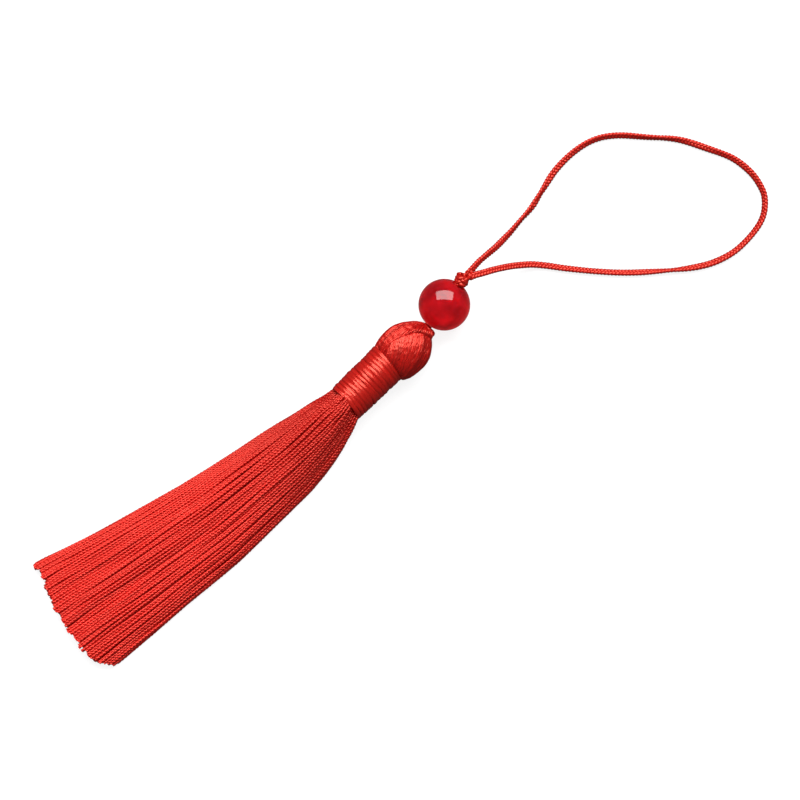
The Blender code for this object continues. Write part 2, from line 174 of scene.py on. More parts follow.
def smooth_line(route, spacing, fine=20):
    """Evenly spaced points on a smooth curve through the route's points, fine steps between two of them."""
    points = np.array(route, float)
    ends = np.concatenate([[2 * points[0] - points[1]], points, [2 * points[-1] - points[-2]]])
    t = np.linspace(0, 1, fine, endpoint=False)[:, None]
    parts = []
    for a, b, c, d in zip(ends, ends[1:], ends[2:], ends[3:]):
        parts.append(0.5 * (
            2 * b + (c - a) * t + (2 * a - 5 * b + 4 * c - d) * t ** 2 + (3 * b - a - 3 * c + d) * t ** 3
        ))
    return at_spacing(np.concatenate([*parts, points[-1:]]), spacing)


print("a 3, 4, 5 corner:", lengths_along(np.array(((0, 0, 0), (3, 0, 0), (3, 4, 0)))))


# %% Helpers for pieces
def closed_mesh(name, work):
    """The smooth mesh of a finished bmesh, with its faces pointing outwards."""
    bmesh.ops.recalc_face_normals(work, faces=work.faces)
    mesh = bpy.data.meshes.new(name)
    work.to_mesh(mesh)
    work.free()
    mesh.polygons.foreach_set("use_smooth", [True] * len(mesh.polygons))
    return mesh


def set_out(name, mesh, finish):
    """The mesh as an object in the scene, in its finish."""
    piece = bpy.data.objects.new(name, mesh)
    bpy.context.scene.collection.objects.link(piece)
    mesh.materials.append(finish)
    print(f"{name}: {len(mesh.polygons)} faces in {finish.name}")
    return piece


def dress(piece, node):
    """The piece rides on the only body and stands for its CAD node, which is hidden."""
    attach(piece, "root")
    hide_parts(node)


print("pieces stand for the nodes", ", ".join(sorted(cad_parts)))

# %% [markdown]
# ## One Geometry Nodes tree for every thread
# Everything soft here is made of threads: the skirt, the head, the winding and the plaited cord. A rule in
# Python lays the middle lines as chains of edges, and this tree sweeps a small section along each one. The
# section has two lobes, like the two plies of a twisted thread, and the tree turns it as it goes, so the
# plies are real shape and catch the light as short slanting dashes. The same tree with no twist and a flat
# section makes satin thread.

# %% What the tree is given
TREE_INPUTS = (
    ("Geometry", "NodeSocketGeometry"),
    ("Across", "NodeSocketFloat"),
    ("Height", "NodeSocketFloat"),
    ("Waist", "NodeSocketFloat"),
    ("Turns per metre", "NodeSocketFloat"),
    ("Section points", "NodeSocketInt"),
    ("Finish", "NodeSocketMaterial"),
)
# What each point of a middle line carries for the tree.
TREE_FIELDS = (("along", "FLOAT"), ("phase", "FLOAT"), ("width", "FLOAT"), ("outward", "FLOAT_VECTOR"))
print("the tree reads", ", ".join(name for name, kind in TREE_FIELDS), "from each point")


# %% The thread's section
SECTION_POINTS = 6  # round a thread, unless it needs fewer or more


def thread_section(tree, given):
    """A circle pressed to the thread's width and height, with a waist between its two lobes."""
    ring = add(
        tree, "GeometryNodeCurvePrimitiveCircle", {"mode": "RADIUS"},
        Resolution=given["Section points"], Radius=1.0,
    )
    place = add(tree, "GeometryNodeInputPosition").outputs[0]
    parts = add(tree, "ShaderNodeSeparateXYZ", Vector=place).outputs
    pinch = add(tree, "ShaderNodeMath", {"operation": "POWER"}, _0=parts["Y"], _1=2.0)
    pinch = add(tree, "ShaderNodeMath", {"operation": "MULTIPLY"}, _0=pinch.outputs[0], _1=given["Waist"])
    pinch = add(tree, "ShaderNodeMath", {"operation": "SUBTRACT"}, _0=1.0, _1=pinch.outputs[0])
    # Across is taken backwards, so that the section runs the way that makes the faces point outwards.
    wide = add(tree, "ShaderNodeMath", {"operation": "MULTIPLY"}, _0=given["Across"], _1=-0.5)
    wide = add(tree, "ShaderNodeMath", {"operation": "MULTIPLY"}, _0=parts["X"], _1=wide.outputs[0])
    tall = add(tree, "ShaderNodeMath", {"operation": "MULTIPLY"}, _0=given["Height"], _1=0.5)
    tall = add(tree, "ShaderNodeMath", {"operation": "MULTIPLY"}, _0=parts["Y"], _1=tall.outputs[0])
    tall = add(tree, "ShaderNodeMath", {"operation": "MULTIPLY"}, _0=tall.outputs[0], _1=pinch.outputs[0])
    pressed = add(tree, "ShaderNodeCombineXYZ", X=tall.outputs[0], Y=wide.outputs[0], Z=0.0)
    section = add(
        tree, "GeometryNodeSetPosition", Geometry=ring.outputs["Curve"], Position=pressed.outputs[0],
    )
    index = add(tree, "GeometryNodeInputIndex").outputs[0]
    return add(
        tree, "GeometryNodeStoreNamedAttribute", {"data_type": "FLOAT", "domain": "POINT"},
        Geometry=section.outputs[0], Name="around", Value=index,
    ).outputs[0]


print("points round a thread:", SECTION_POINTS)

# %% The thread's middle line
FULL_TURN = 2 * math.pi


def thread_line(tree, given, fields):
    """Each chain of edges as a curve that is turned steadily along its length."""
    line = add(tree, "GeometryNodeMeshToCurve", Mesh=given["Geometry"])
    line = add(
        tree, "GeometryNodeSetCurveNormal", {"mode": "FREE"}, Curve=line.outputs[0], Normal=fields["outward"],
    )
    turn = add(
        tree, "ShaderNodeMath", {"operation": "MULTIPLY"}, _0=fields["along"], _1=given["Turns per metre"],
    )
    turn = add(tree, "ShaderNodeMath", {"operation": "ADD"}, _0=turn.outputs[0], _1=fields["phase"])
    turn = add(tree, "ShaderNodeMath", {"operation": "MULTIPLY"}, _0=turn.outputs[0], _1=FULL_TURN)
    return add(tree, "GeometryNodeSetCurveTilt", Curve=line.outputs[0], Tilt=turn.outputs[0]).outputs[0]


print("one turn is a tilt of", round(FULL_TURN, 3))


# %% The tree that sweeps threads
def thread_tree():
    """The tree that sweeps a thread along each chain of edges."""
    tree = bpy.data.node_groups.new("sweep_threads", "GeometryNodeTree")
    for name, kind in TREE_INPUTS:
        tree.interface.new_socket(name, in_out="INPUT", socket_type=kind)
    tree.interface.new_socket("Geometry", in_out="OUTPUT", socket_type="NodeSocketGeometry")
    given = add(tree, "NodeGroupInput").outputs
    fields = {
        name: add(tree, "GeometryNodeInputNamedAttribute", {"data_type": kind}, Name=name).outputs[0]
        for name, kind in TREE_FIELDS
    }
    swept = add(
        tree, "GeometryNodeCurveToMesh", Curve=thread_line(tree, given, fields),
        Profile_Curve=thread_section(tree, given), Scale=fields["width"], Fill_Caps=True,
    )
    smooth = add(tree, "GeometryNodeSetShadeSmooth", Geometry=swept.outputs[0], Shade_Smooth=True)
    whole = add(tree, "GeometryNodeRealizeInstances", Geometry=smooth.outputs[0])
    painted = add(tree, "GeometryNodeSetMaterial", Geometry=whole.outputs[0], Material=given["Finish"])
    add(tree, "NodeGroupOutput", Geometry=painted.outputs[0])
    return tree


THREAD_TREE = thread_tree()
THREAD_INPUTS = {
    item.name: item.identifier for item in THREAD_TREE.interface.items_tree if item.in_out == "INPUT"
}
print("thread tree inputs:", list(THREAD_INPUTS))


# %% Middle lines as a mesh of edge chains
class Lines:
    """Middle lines of threads, in mm, each with its outward directions, widths, phase and shades."""

    def __init__(self):
        self.rows = []

    def lay(self, line, outward, width=1.0, phase=0.0, shade=0.5):
        width, phase, shade = (np.broadcast_to(values, len(line)) for values in (width, phase, shade))
        self.rows.append({
            "co": line, "along": lengths_along(line) * MM, "outward": outward, "width": width, "phase": phase,
            "shade": shade,
        })

    def longest(self):
        return max(row["along"][-1] for row in self.rows) / MM

    def joined(self, key):
        return np.concatenate([row[key] for row in self.rows])

    def mesh(self, name):
        """The lines as chains of edges, with what the tree and the finish read from each point."""
        counts = [len(row["co"]) for row in self.rows]
        starts = np.concatenate([[0], np.cumsum(counts)])
        edges = np.concatenate([
            np.stack([np.arange(a, b - 1), np.arange(a + 1, b)], axis=1) for a, b in zip(starts, starts[1:])
        ])
        mesh = bpy.data.meshes.new(name)
        mesh.vertices.add(int(starts[-1]))
        mesh.edges.add(len(edges))
        mesh.vertices.foreach_set("co", (self.joined("co") * MM).ravel())
        mesh.edges.foreach_set("vertices", edges.ravel().astype(np.int32))
        fields = {key: self.joined(key) for key in ("along", "width", "phase", "shade")}
        fields["thread"] = np.repeat(np.arange(len(counts)), counts)
        for key, values in fields.items():
            mesh.attributes.new(key, "FLOAT", "POINT").data.foreach_set("value", values.astype(np.float32))
        outward = mesh.attributes.new("outward", "FLOAT_VECTOR", "POINT")
        outward.data.foreach_set("vector", self.joined("outward").astype(np.float32).ravel())
        return mesh


print("each point keeps along, width, phase, shade, thread and outward")

# %% Unrolling each thread for its finish
CAP_WIDTH, CAP_HEIGHT = 0.4, 0.0015  # half the size, in the map, of a thread's cut end
MAP_MARGIN = 0.002  # left free at the top and bottom of the map


def read(mesh, name):
    """The number that each point of a mesh carries under this name."""
    values = np.zeros(len(mesh.vertices), np.float32)
    mesh.attributes[name].data.foreach_get("value", values)
    return values


def unroll(mesh, sides):
    """A UV map in which each thread is an upright strip: U is thread plus how far round, V is along."""
    corners = np.zeros(len(mesh.loops), np.int32)
    mesh.loops.foreach_get("vertex_index", corners)
    counts = np.zeros(len(mesh.polygons), np.int32)
    mesh.polygons.foreach_get("loop_total", counts)
    face = np.repeat(np.arange(len(counts)), counts)
    thread, around, along = (read(mesh, key)[corners] for key in ("thread", "around", "along"))
    highest = np.zeros(len(counts), np.float32)
    np.maximum.at(highest, face, around)
    lowest = np.full(len(counts), 1e9, np.float32)
    np.minimum.at(lowest, face, around)
    cap = (counts > 4)[face]  # faces along a thread have four corners
    wraps = ((highest == sides - 1) & (lowest == 0))[face] & (around == 0) & ~cap
    share = (around + sides * wraps) / sides
    height = along / max(float(along.max()), 1e-9)
    angle = 2 * math.pi * around / sides
    share = np.where(cap, 0.5 + CAP_WIDTH * np.cos(angle), share)
    height = np.where(cap, height + CAP_HEIGHT * np.sin(angle), height)
    upright = MAP_MARGIN + (1 - 2 * MAP_MARGIN) * np.clip(height, 0, 1)
    uv = np.stack([(thread + share) / (float(thread.max()) + 1), upright], axis=1)
    mesh.uv_layers.new(name="OFBake").data.foreach_set("uv", uv.ravel().astype(np.float32))


print("a thread's strip fills", round(1 - 2 * MAP_MARGIN, 3), "of the map's height")


# %% Sweeping the threads
def sweep(name, lines, finish, across, height, waist=0.0, twist=0.0, sides=SECTION_POINTS):
    """Threads swept along the lines as one plain mesh. Sizes and the length of a twist are in mm."""
    piece = bpy.data.objects.new(name, lines.mesh(name))
    bpy.context.scene.collection.objects.link(piece)
    step = piece.modifiers.new("sweep", "NODES")
    step.node_group = THREAD_TREE
    values = {
        "Across": across * MM,
        "Height": height * MM,
        "Waist": waist,
        "Turns per metre": 1 / (twist * MM) if twist else 0.0,
        "Section points": sides,
        "Finish": finish,
    }
    for key, value in values.items():
        step[THREAD_INPUTS[key]] = value
    graph = bpy.context.evaluated_depsgraph_get()
    mesh = bpy.data.meshes.new_from_object(piece.evaluated_get(graph))
    piece.modifiers.clear()
    piece.data = mesh
    mesh.name = name
    unroll(mesh, sides)
    for key in ("outward", "width", "phase", "around", "along"):
        mesh.attributes.remove(mesh.attributes[key])
    triangles = sum(len(p.vertices) - 2 for p in mesh.polygons)
    print(f"{name}: {len(lines.rows)} threads, {triangles} triangles")
    return piece


print("threads are swept by the tree", THREAD_TREE.name)

# %% [markdown]
# ## Silk-like thread
# The thread is twisted from very fine, bright filament, as artificial silk is. Such filament mirrors light
# along its length, so each ply shows a pale stripe where it faces the lamp and a deep red one in the
# grooves. A rough gloss, tinted like the dye, gives the stripe. The grooves between plies and the fine
# filaments are bump and colour by a rule on the unrolled thread, and the darker colour in the grooves is
# painted shade. Dye takes unevenly, so each thread has a shade of its own; near the neck and the knot, and
# inside the skirt, that shade is also darkened as painted shade.

# %% Streaks on a thread
# Streaks round one thread, mm of thread to one streak, and how fine they are. All are coarser than real
# filament, so that they still show.
PLIED = (9, 2.2, 3.0)
CRIMPED = (3, 1.1, 1.0)
LAID_FLAT = (9, 1.4, 2.0)


def strip_pattern(tree, lines, lobes, pattern):
    """How deep in a groove between plies, and how light its filament is, each place of a thread is."""
    uv = add(tree, "ShaderNodeUVMap", {"uv_map": "OFBake"}).outputs["UV"]
    # U times the number of threads counts whole threads, so its waves keep their place on each thread.
    count = len(lines.rows)
    strip = add(tree, "ShaderNodeSeparateXYZ", Vector=uv).outputs["X"]
    turn = add(tree, "ShaderNodeMath", {"operation": "MULTIPLY"}, _0=strip, _1=2 * math.pi * lobes * count)
    wave = add(tree, "ShaderNodeMath", {"operation": "COSINE"}, _0=turn.outputs[0])
    hollow = add(
        tree, "ShaderNodeMapRange", {"interpolation_type": "SMOOTHSTEP"},
        Value=wave.outputs[0], From_Min=0.2, From_Max=-1.0, To_Min=0.0, To_Max=1.0,
    )
    around, along, detail = pattern
    stretch = (around * count, lines.longest() / along, 0.0)
    where = add(tree, "ShaderNodeVectorMath", {"operation": "MULTIPLY"}, _0=uv, _1=stretch)
    filament = add(
        tree, "ShaderNodeTexNoise", Vector=where.outputs[0], Scale=1.0, Detail=detail, Roughness=0.6,
    )
    return hollow.outputs["Result"], filament.outputs["Fac"]


print("streaks of plied thread are", round(0.5 * math.pi / PLIED[0], 2), "mm wide on a 0.5 mm thread")


# %% Thread finish
SILK_HIGHLIGHT = "#FFA890"


def thread_finish(name, lines, lit, deep, groove_painted_shade, lobes=2, pattern=PLIED, streaks=0.35, roughness=0.30,
                  painted_groove_shade_strength=0.5, relief=0.035):
    """Dyed filament. A thread's colour lies between deep and lit, and goes towards the groove colour between
    plies, which is painted shade.

    lobes is how many plies the section has, streaks is how strongly filament streaks colour the thread,
    the groove strength how strongly the painted groove shade does, and relief is the depth of both in mm.
    Bright dyed filament colours its highlights as metal does, so the shader is a little metallic.
    """
    material, tree, shader = new_finish(
        name, Roughness=roughness, IOR=1.70, Specular_IOR_Level=1.0, Specular_Tint=linear(SILK_HIGHLIGHT),
        Metallic=0.28,
    )
    hollow, filament = strip_pattern(tree, lines, lobes, pattern)
    # The shade attribute is each thread's own tone, and near the neck and the knot painted shade as well.
    shade = add(tree, "ShaderNodeAttribute", {"attribute_name": "shade"}).outputs["Fac"]
    tone_and_painted_shade = add(tree, "ShaderNodeMix", {"data_type": "FLOAT"}, _0=streaks, _2=shade, _3=filament)
    body = add(
        tree, "ShaderNodeMix", {"data_type": "RGBA"}, _0=tone_and_painted_shade.outputs[0], _6=linear(deep), _7=linear(lit),
    )
    # Between plies the colour goes towards the groove colour: painted shade in the grooves.
    depth = add(tree, "ShaderNodeMath", {"operation": "MULTIPLY"}, _0=hollow, _1=painted_groove_shade_strength)
    colour = add(
        tree, "ShaderNodeMix", {"data_type": "RGBA"},
        _0=depth.outputs[0], _6=body.outputs[2], _7=linear(groove_painted_shade),
    )
    tree.links.new(colour.outputs[2], shader.inputs["Base Color"])
    raised = add(tree, "ShaderNodeMath", {"operation": "MULTIPLY_ADD"}, _0=hollow, _1=-1.0, _2=filament)
    bump = add(tree, "ShaderNodeBump", Strength=1.0, Distance=relief * MM, Height=raised.outputs[0])
    tree.links.new(bump.outputs["Normal"], shader.inputs["Normal"])
    print(f"{name}: {len(lines.rows)} threads, the longest {lines.longest():.1f} mm")
    return material


print("silk thread mirrors the lamp in", SILK_HIGHLIGHT)

# %% [markdown]
# ## The loop: a plaited cord
# The hanging loop is a thin cord of three satin strands plaited flat, about 1.2 mm wide and 0.7 mm thick,
# which is why it looks like a row of slanting stitches. Its real length is all there to see, from the knot
# out and back. The strands of a plait follow a simple rule: each swings from side to side once in a repeat
# while it dips under and over twice, a third of a repeat behind the one before it. The cord also turns as it
# goes, so it shows its flat side in some places and its edge in others.

# %% Where the cord runs
BEAD_MIDDLE = np.array((35.05, 1.60, 4.02))
BORE_AHEAD = towards(11, 24)
UPPER_KNOT = BEAD_MIDDLE + BORE_AHEAD * 5.0
LOWER_KNOT = BEAD_MIDDLE - BORE_AHEAD * 5.35 + np.array((0.0, -0.25, 0.50))
EXIT_START = np.array((40.45, 2.42, 6.15))  # between the cord's two ends, where they leave the upper knot
EXIT_AHEAD = towards(-5, 5)
SIDEWAYS = np.array((0.0, 0.30, 0.0))  # from there to the end on the +Y side
print("knots at", LOWER_KNOT.round(2), UPPER_KNOT.round(2))

# %% The loop's route
LIE = 0.60  # height of the cord's middle where it lies on the table, which leaves it room to turn
LOOP_ROUTE = (
    (41.55, 2.90, 6.05), (42.5, 3.13, 5.65), (43.5, 3.36, 5.15), (45.4, 3.62, 4.15), (47.3, 3.90, 2.95),
    (49.3, 4.36, 1.65), (51.2, 4.76, 0.90), (53.5, 5.28, 0.60), (56.2, 5.80, LIE), (59.3, 6.90, LIE),
    (63.0, 8.11, LIE), (67.1, 8.57, LIE), (70.8, 8.07, LIE), (74.0, 6.37, LIE), (77.5, 3.17, LIE),
    (81.1, -0.27, LIE), (83.8, -4.43, LIE), (85.7, -7.90, LIE), (86.4, -11.2, LIE), (86.2, -13.9, LIE),
    (85.4, -16.0, LIE), (83.4, -18.0, LIE), (80.6, -19.1, LIE), (76.5, -19.6, LIE), (72.8, -19.0, LIE),
    (69.6, -17.6, LIE), (65.8, -15.2, LIE), (61.1, -11.8, LIE), (57.4, -8.55, LIE), (54.1, -5.27, LIE),
    (51.9, -2.90, 0.62), (50.2, -1.40, 0.95), (48.5, -0.44, 1.75), (47.2, 0.12, 2.60), (45.6, 0.64, 3.75),
    (44.0, 1.12, 4.75), (43.0, 1.38, 5.30), (42.0, 1.68, 5.80), (41.35, 1.90, 6.05),
)
CORD_STEP = 0.16  # between two points of a strand's middle line
loop_line = smooth_line([EXIT_START + SIDEWAYS, *LOOP_ROUTE, EXIT_START - SIDEWAYS], CORD_STEP)

# %% Plaiting a line
PLAIT_REPEAT = 1.65  # a strand's full swing, so a stitch shows every 0.55 mm on each side
PLAIT_STRANDS = 3
STRAND_ACROSS, STRAND_HEIGHT = 0.58, 0.44
SWING, DIP = 0.30, 0.14  # of a strand's middle, to each side and to each face
SHADE_STEP = 0.08  # from one strand to the next


def plait(lines, line, outward, turned, size=1.0, thick=1.0, start=0.0, repeat=PLAIT_REPEAT):
    """Lays a plait's strands along a line. outward faces its flat side; turned twists it, in radians."""
    ahead = directions(line)
    flat = square_to(outward, ahead)
    beside = np.cross(ahead, flat)
    turned = np.broadcast_to(turned, len(line))[:, None]
    face = flat * np.cos(turned) + beside * np.sin(turned)
    side = np.cross(ahead, face)
    swing = 2 * math.pi * (lengths_along(line) / repeat + start)
    for strand in range(PLAIT_STRANDS):
        angle = (swing + 2 * math.pi * strand / PLAIT_STRANDS)[:, None]
        middle = line + size * (SWING * np.sin(angle) * side + DIP * np.sin(2 * angle) * face)
        outwards = square_to(face, directions(middle))
        lines.lay(middle, outwards, width=size * thick, shade=0.5 + SHADE_STEP * (strand - 1))


print("the plait is", round(2 * SWING + STRAND_ACROSS, 2), "by", round(2 * DIP + STRAND_HEIGHT, 2), "mm")

# %% How the plait turns along the loop
# How far it is turned from lying flat, in degrees, at these distances along the loop in mm.
TURN_AT = (
    0, 4, 9, 12, 15, 18, 20, 23, 27.5, 32, 38, 43, 46, 49, 53,
    57, 62, 66, 70, 73, 76.5, 80, 84, 88.5, 97, 103, 107, 112, 118,
)
TURN_BY = (
    30, 55, 25, 55, 82, 38, 68, 14, 36, 50, 50, 78, 45, 18, 45,
    28, 42, 42, 38, 28, 8, 10, 70, 20, 30, 12, 5, 10, -5,
)
loop_turn = np.radians(np.interp(lengths_along(loop_line), TURN_AT, TURN_BY))
loop_lines = Lines()
plait(loop_lines, loop_line, np.broadcast_to(UP, loop_line.shape), loop_turn)
print("the plait turns between", min(TURN_BY), "and", max(TURN_BY), "degrees")


# %% The loop piece
def cord_satin(name, lines):
    """Bright satin strands, each smooth and round, with darker places where they dip, and a little painted
    shade along one edge of each strand.
    """
    return thread_finish(name, lines, "#D2241C", "#B01410", "#700505", lobes=1, streaks=0.5, painted_groove_shade_strength=0.2)


cord_finish = cord_satin("braided_satin_cord", loop_lines)
loop_piece = sweep("loop_cord", loop_lines, cord_finish, STRAND_ACROSS, STRAND_HEIGHT, sides=8)
dress(loop_piece, "loop")

# %% [markdown]
# ## The knots and the doubled cord
# The same cord runs doubled through the bead. A knot on each side of the bead is the cord wound round itself
# and pulled tight, so each is a short coil of plait round a full middle.

# %% The two knots
KNOT_TURNS = 2.0
KNOT_POINTS = 27
KNOT_STEP = 0.14  # between two points of the cord's middle line
TUCK = 0.3  # how far out, as a share, a coil's two ends stay
KNOT_REPEAT = 3.8  # a strand swings slowly here, so that each turn of the coil shows as one strand
UPPER_AXIS = unit(np.array((0.74, 0.54, 0.40)))
UPPER_COIL = UPPER_KNOT - 0.30 * VIEW_RIGHT - 0.12 * VIEW_UP  # a little to one side of the cord
KNOTS = (
    {"place": LOWER_KNOT, "axis": BORE_AHEAD, "radii": (1.15, 0.80), "pitch": 1.12},
    {"place": UPPER_COIL, "axis": UPPER_AXIS, "radii": (0.80, 0.78), "pitch": 1.16},
)


def knot_line(place, axis, radii, pitch):
    """The outer turns of a knot, wound about its axis, with both ends turned in."""
    upright = square_to(UP, axis)
    level = np.cross(upright, axis)
    share = np.linspace(0, 1, KNOT_POINTS)
    angle = 2 * math.pi * KNOT_TURNS * share
    inward = np.where((share > 0) & (share < 1), 1.0, TUCK)[:, None]
    height = ((share - 0.5) * pitch * (KNOT_TURNS - 1))[:, None]
    wound = radii[0] * np.cos(angle)[:, None] * level + radii[1] * np.sin(angle)[:, None] * upright
    return smooth_line(place + inward * wound + height * axis, KNOT_STEP)


knot_lines = Lines()
for knot in KNOTS:
    wound = knot_line(**knot)
    from_axis = wound - knot["place"]
    from_axis = unit(from_axis - (from_axis @ knot["axis"])[:, None] * knot["axis"] + 1e-6)
    plait(knot_lines, wound, from_axis, 0.0, size=0.9, thick=1.25, repeat=KNOT_REPEAT)
    print("knot of", round(float(lengths_along(wound)[-1]), 1), "mm of cord")

# %% The doubled cord through the bead
BORE_UP = square_to(UP, BORE_AHEAD)
BORE_SIDE = np.cross(BORE_UP, BORE_AHEAD)
APART = 0.46  # of each cord's middle from the bore's, where nothing presses them
# Distances along the bore from the bead's middle, and how far the two are pressed together there.
BORE_ROUTE = ((-4.3, 0.85), (-3.4, 0.74), (3.4, 0.74), (4.3, 0.85))
# Each cord starts inside the lower knot, runs through the bead and the upper knot, and ends in the loop.
for side in (-1, 1):
    beside = BORE_SIDE * side * APART
    through = smooth_line([
        LOWER_KNOT - BORE_AHEAD * 0.9 + beside,
        LOWER_KNOT + beside,
        *(BEAD_MIDDLE + BORE_AHEAD * at + beside * pressed for at, pressed in BORE_ROUTE),
        UPPER_KNOT + beside,
        EXIT_START - EXIT_AHEAD * 0.5 - SIDEWAYS * side,
        EXIT_START + EXIT_AHEAD * 0.2 - SIDEWAYS * side,
    ], CORD_STEP)
    plait(knot_lines, through, carried(BORE_UP, through), math.pi / 2, size=0.86, start=0.3 * side)
knot_finish = cord_satin("knotted_satin_cord", knot_lines)
knot_piece = sweep("knots_and_doubled_cord", knot_lines, knot_finish, STRAND_ACROSS, STRAND_HEIGHT, sides=8)
dress(knot_piece, "hanging_cord")

# %% [markdown]
# ## The skirt
# Nearly four hundred cut threads fall from the neck. They keep their thickness, so a loose skirt that is
# three times as wide as the neck shows three times as many threads: between the ones that already lie on
# top, more come up from beneath. Each thread here has a weight at every place along the skirt, 0 while it is
# hidden and 1 when it lies on top, and the weights share out the width. Slits between loose clumps and the
# tufts at the cut end are extra weight given to the gap beside some threads. The outline of the skirt is the
# one that the source's section table has, with its sides drawn finer.

# %% The skirt's outline
THREAD_ACROSS = 0.50
NECK_START = np.array((13.9, -0.85, 3.62))
NECK_END = np.array((22.3, -0.05, 3.92))
SIDES_AT = (-42, -37, -34, -29, -24, -19, -14, -9, -4, 1, 3, 5, 7, 9, 10, 11, 12, 13, 14, 16)
SIDE_LOW = (
    -10.05, -10.0, -9.9, -9.8, -9.6, -9.5, -9.35, -8.9, -8.4, -7.8,
    -7.4, -7.0, -6.5, -5.9, -5.5, -5.2, -4.85, -4.4, -3.9, -3.5,
)
SIDE_HIGH = (
    10.6, 9.8, 9.1, 8.05, 7.1, 6.2, 5.4, 4.8, 4.3, 3.9,
    3.7, 3.5, 3.3, 3.05, 2.9, 2.6, 2.4, 2.3, 2.25, 1.9,
)
SECTION_AT = (-41.2, -15.0, 2.0, 9.5, 12.95, 16.0)
SECTION_ROWS = {
    "low": (0.0, 0.0, 0.0, 0.0, 0.50, 1.05),
    "top": (3.40, 4.30, 5.45, 6.58, 6.95, 6.50),
    "fall": (0.66, 0.70, 0.80, 0.84, 0.84, 0.88),
    "narrow": (0.20, 0.25, 0.30, 0.40, 0.60, 0.80),
    "flat": (1.0, 1.0, 1.0, 0.6, 0.0, 0.0),
}
print("the skirt's width at the neck is", SIDE_HIGH[-1] - SIDE_LOW[-1], "mm")


# %% The skirt's sections
def section(x):
    """The skirt's section at x: its sides, lowest and highest point, and how its corners are rounded."""
    values = {key: np.interp(x, SECTION_AT, row) for key, row in SECTION_ROWS.items()}
    values["side_low"] = np.interp(x, SIDES_AT, SIDE_LOW)
    values["side_high"] = np.interp(x, SIDES_AT, SIDE_HIGH)
    return values


def skirt_point(cut, across, up):
    """A point of a section: across runs from -1 to 1, and up from 0 on the table to 1 on top."""
    level = 2 * up - 1
    squeeze = np.where(level > 0, level, level * (1 - cut["flat"]))
    half = (cut["side_high"] - cut["side_low"]) / 2
    y = (cut["side_high"] + cut["side_low"]) / 2 + half * across * np.sqrt(1 - cut["narrow"] * squeeze ** 2)
    half_height = (cut["top"] - cut["low"]) / 2
    bow = np.sqrt(1 - cut["fall"] * across ** 2)
    lowest = half_height * (1 - bow) * (1 - cut["flat"])
    return y, cut["low"] + lowest + half_height * bow * (level + 1)


print("highest point of the skirt's middle at x = 0:", round(float(skirt_point(section(0), 0.0, 1.0)[1]), 2))

# %% The arcs that the outer threads lie on
ARC_STEPS, SIDE_STEPS = 60, 12
SIDE_FOOT = 0.12  # share of the height where an arc's sides begin
EASINGS = 6  # rounds of smoothing at the corners


def arc_of(cut, top):
    """The section's outline over the top with both sides, or under the bottom, from low Y to high Y."""
    across = np.linspace(-1, 1, ARC_STEPS)
    if not top:
        return np.stack(skirt_point(cut, across, np.zeros(ARC_STEPS)), axis=1)
    rise = np.linspace(SIDE_FOOT, 1, SIDE_STEPS)
    left = np.stack(skirt_point(cut, -np.ones(SIDE_STEPS), rise), axis=1)
    right = np.stack(skirt_point(cut, np.ones(SIDE_STEPS), rise), axis=1)[::-1]
    return np.concatenate([left, np.stack(skirt_point(cut, across, np.ones(ARC_STEPS)), axis=1), right])


def rounded(arc):
    """The outline with its corners eased, which also draws it in by a little."""
    eased = arc.copy()
    for _ in range(EASINGS):
        eased[1:-1] = (eased[:-2] + 2 * eased[1:-1] + eased[2:]) / 4
    return eased


def inset(arc, depth):
    """The outline moved inwards, so that threads laid on it stay inside it, and its outward directions."""
    along = unit(np.gradient(arc, axis=0))
    inward = np.stack([along[:, 1], -along[:, 0]], axis=1)
    return arc + inward * depth, -inward


print("points on an arc over the top:", len(arc_of(section(0), True)))

# %% Where the threads are cut
CUT_PLACES = (-10.1, -8.2, -7.0, -6.3, -4.5, -2.1, 0.1, 0.7, 2.3, 4.1, 4.9, 5.9, 6.7, 7.4, 8.5, 9.7)
CUT_AT = (
    -38.5, -40.3, -40.9, -40.95, -41.0, -40.8, -40.7, -40.4,
    -40.6, -39.8, -39.9, -39.6, -38.85, -39.0, -38.6, -39.0,
)
TUFT_REACH = 0.20  # how far a whole tuft stands out or back
TUFT_ROUND = 0.30  # how much shorter its outermost threads are
LAST_STEP = 0.05  # least distance between a thread's last two points
SKIRT_RANDOM = np.random.default_rng(11)


def tufts(count):
    """For each thread, which tuft of 4 to 6 it ends in, and how far it stands out of the round cut."""
    tuft, stand = [], []
    while len(tuft) < count:
        size = int(SKIRT_RANDOM.integers(4, 7))
        reach = SKIRT_RANDOM.uniform(-TUFT_REACH, TUFT_REACH)
        tuft += [len(tuft)] * size
        stand += [reach - TUFT_ROUND * (2 * (k + 0.5) / size - 1) ** 2 for k in range(size)]
    return np.array(tuft[:count]), np.array(stand[:count])


def cut_off(points, outs, stand, jitter=0.05):
    """Each thread's points as far as its own cut, which is level with its tuft's."""
    threads = []
    for row, out, extra in zip(points, outs, stand):
        cut = np.interp(row[-1, 1], CUT_PLACES, CUT_AT) - extra + SKIRT_RANDOM.uniform(-jitter, jitter)
        keep = row[:, 0] > cut + LAST_STEP
        last = np.array([[np.interp(cut, row[::-1, 0], row[::-1, c]) for c in range(3)]])
        threads.append((np.concatenate([row[keep], last]), np.concatenate([out[keep], out[keep][-1:]])))
    return threads


print("longest threads are cut at x =", min(CUT_AT))

# %% Sharing out the width
STATIONS = np.arange(15.4, -42.0, -1.0)  # places along the skirt
GOLDEN = 0.6180339887  # steps of this share spread the threads that come up late evenly among the others
COMES_UP_OVER = 0.24  # share of all threads that are on their way up at one place
LOOSE_END = -30  # past here no thread is hidden
TUFTS_FROM, TUFTS_OVER = -35.5, 5  # where gaps between tufts open, and over how many mm


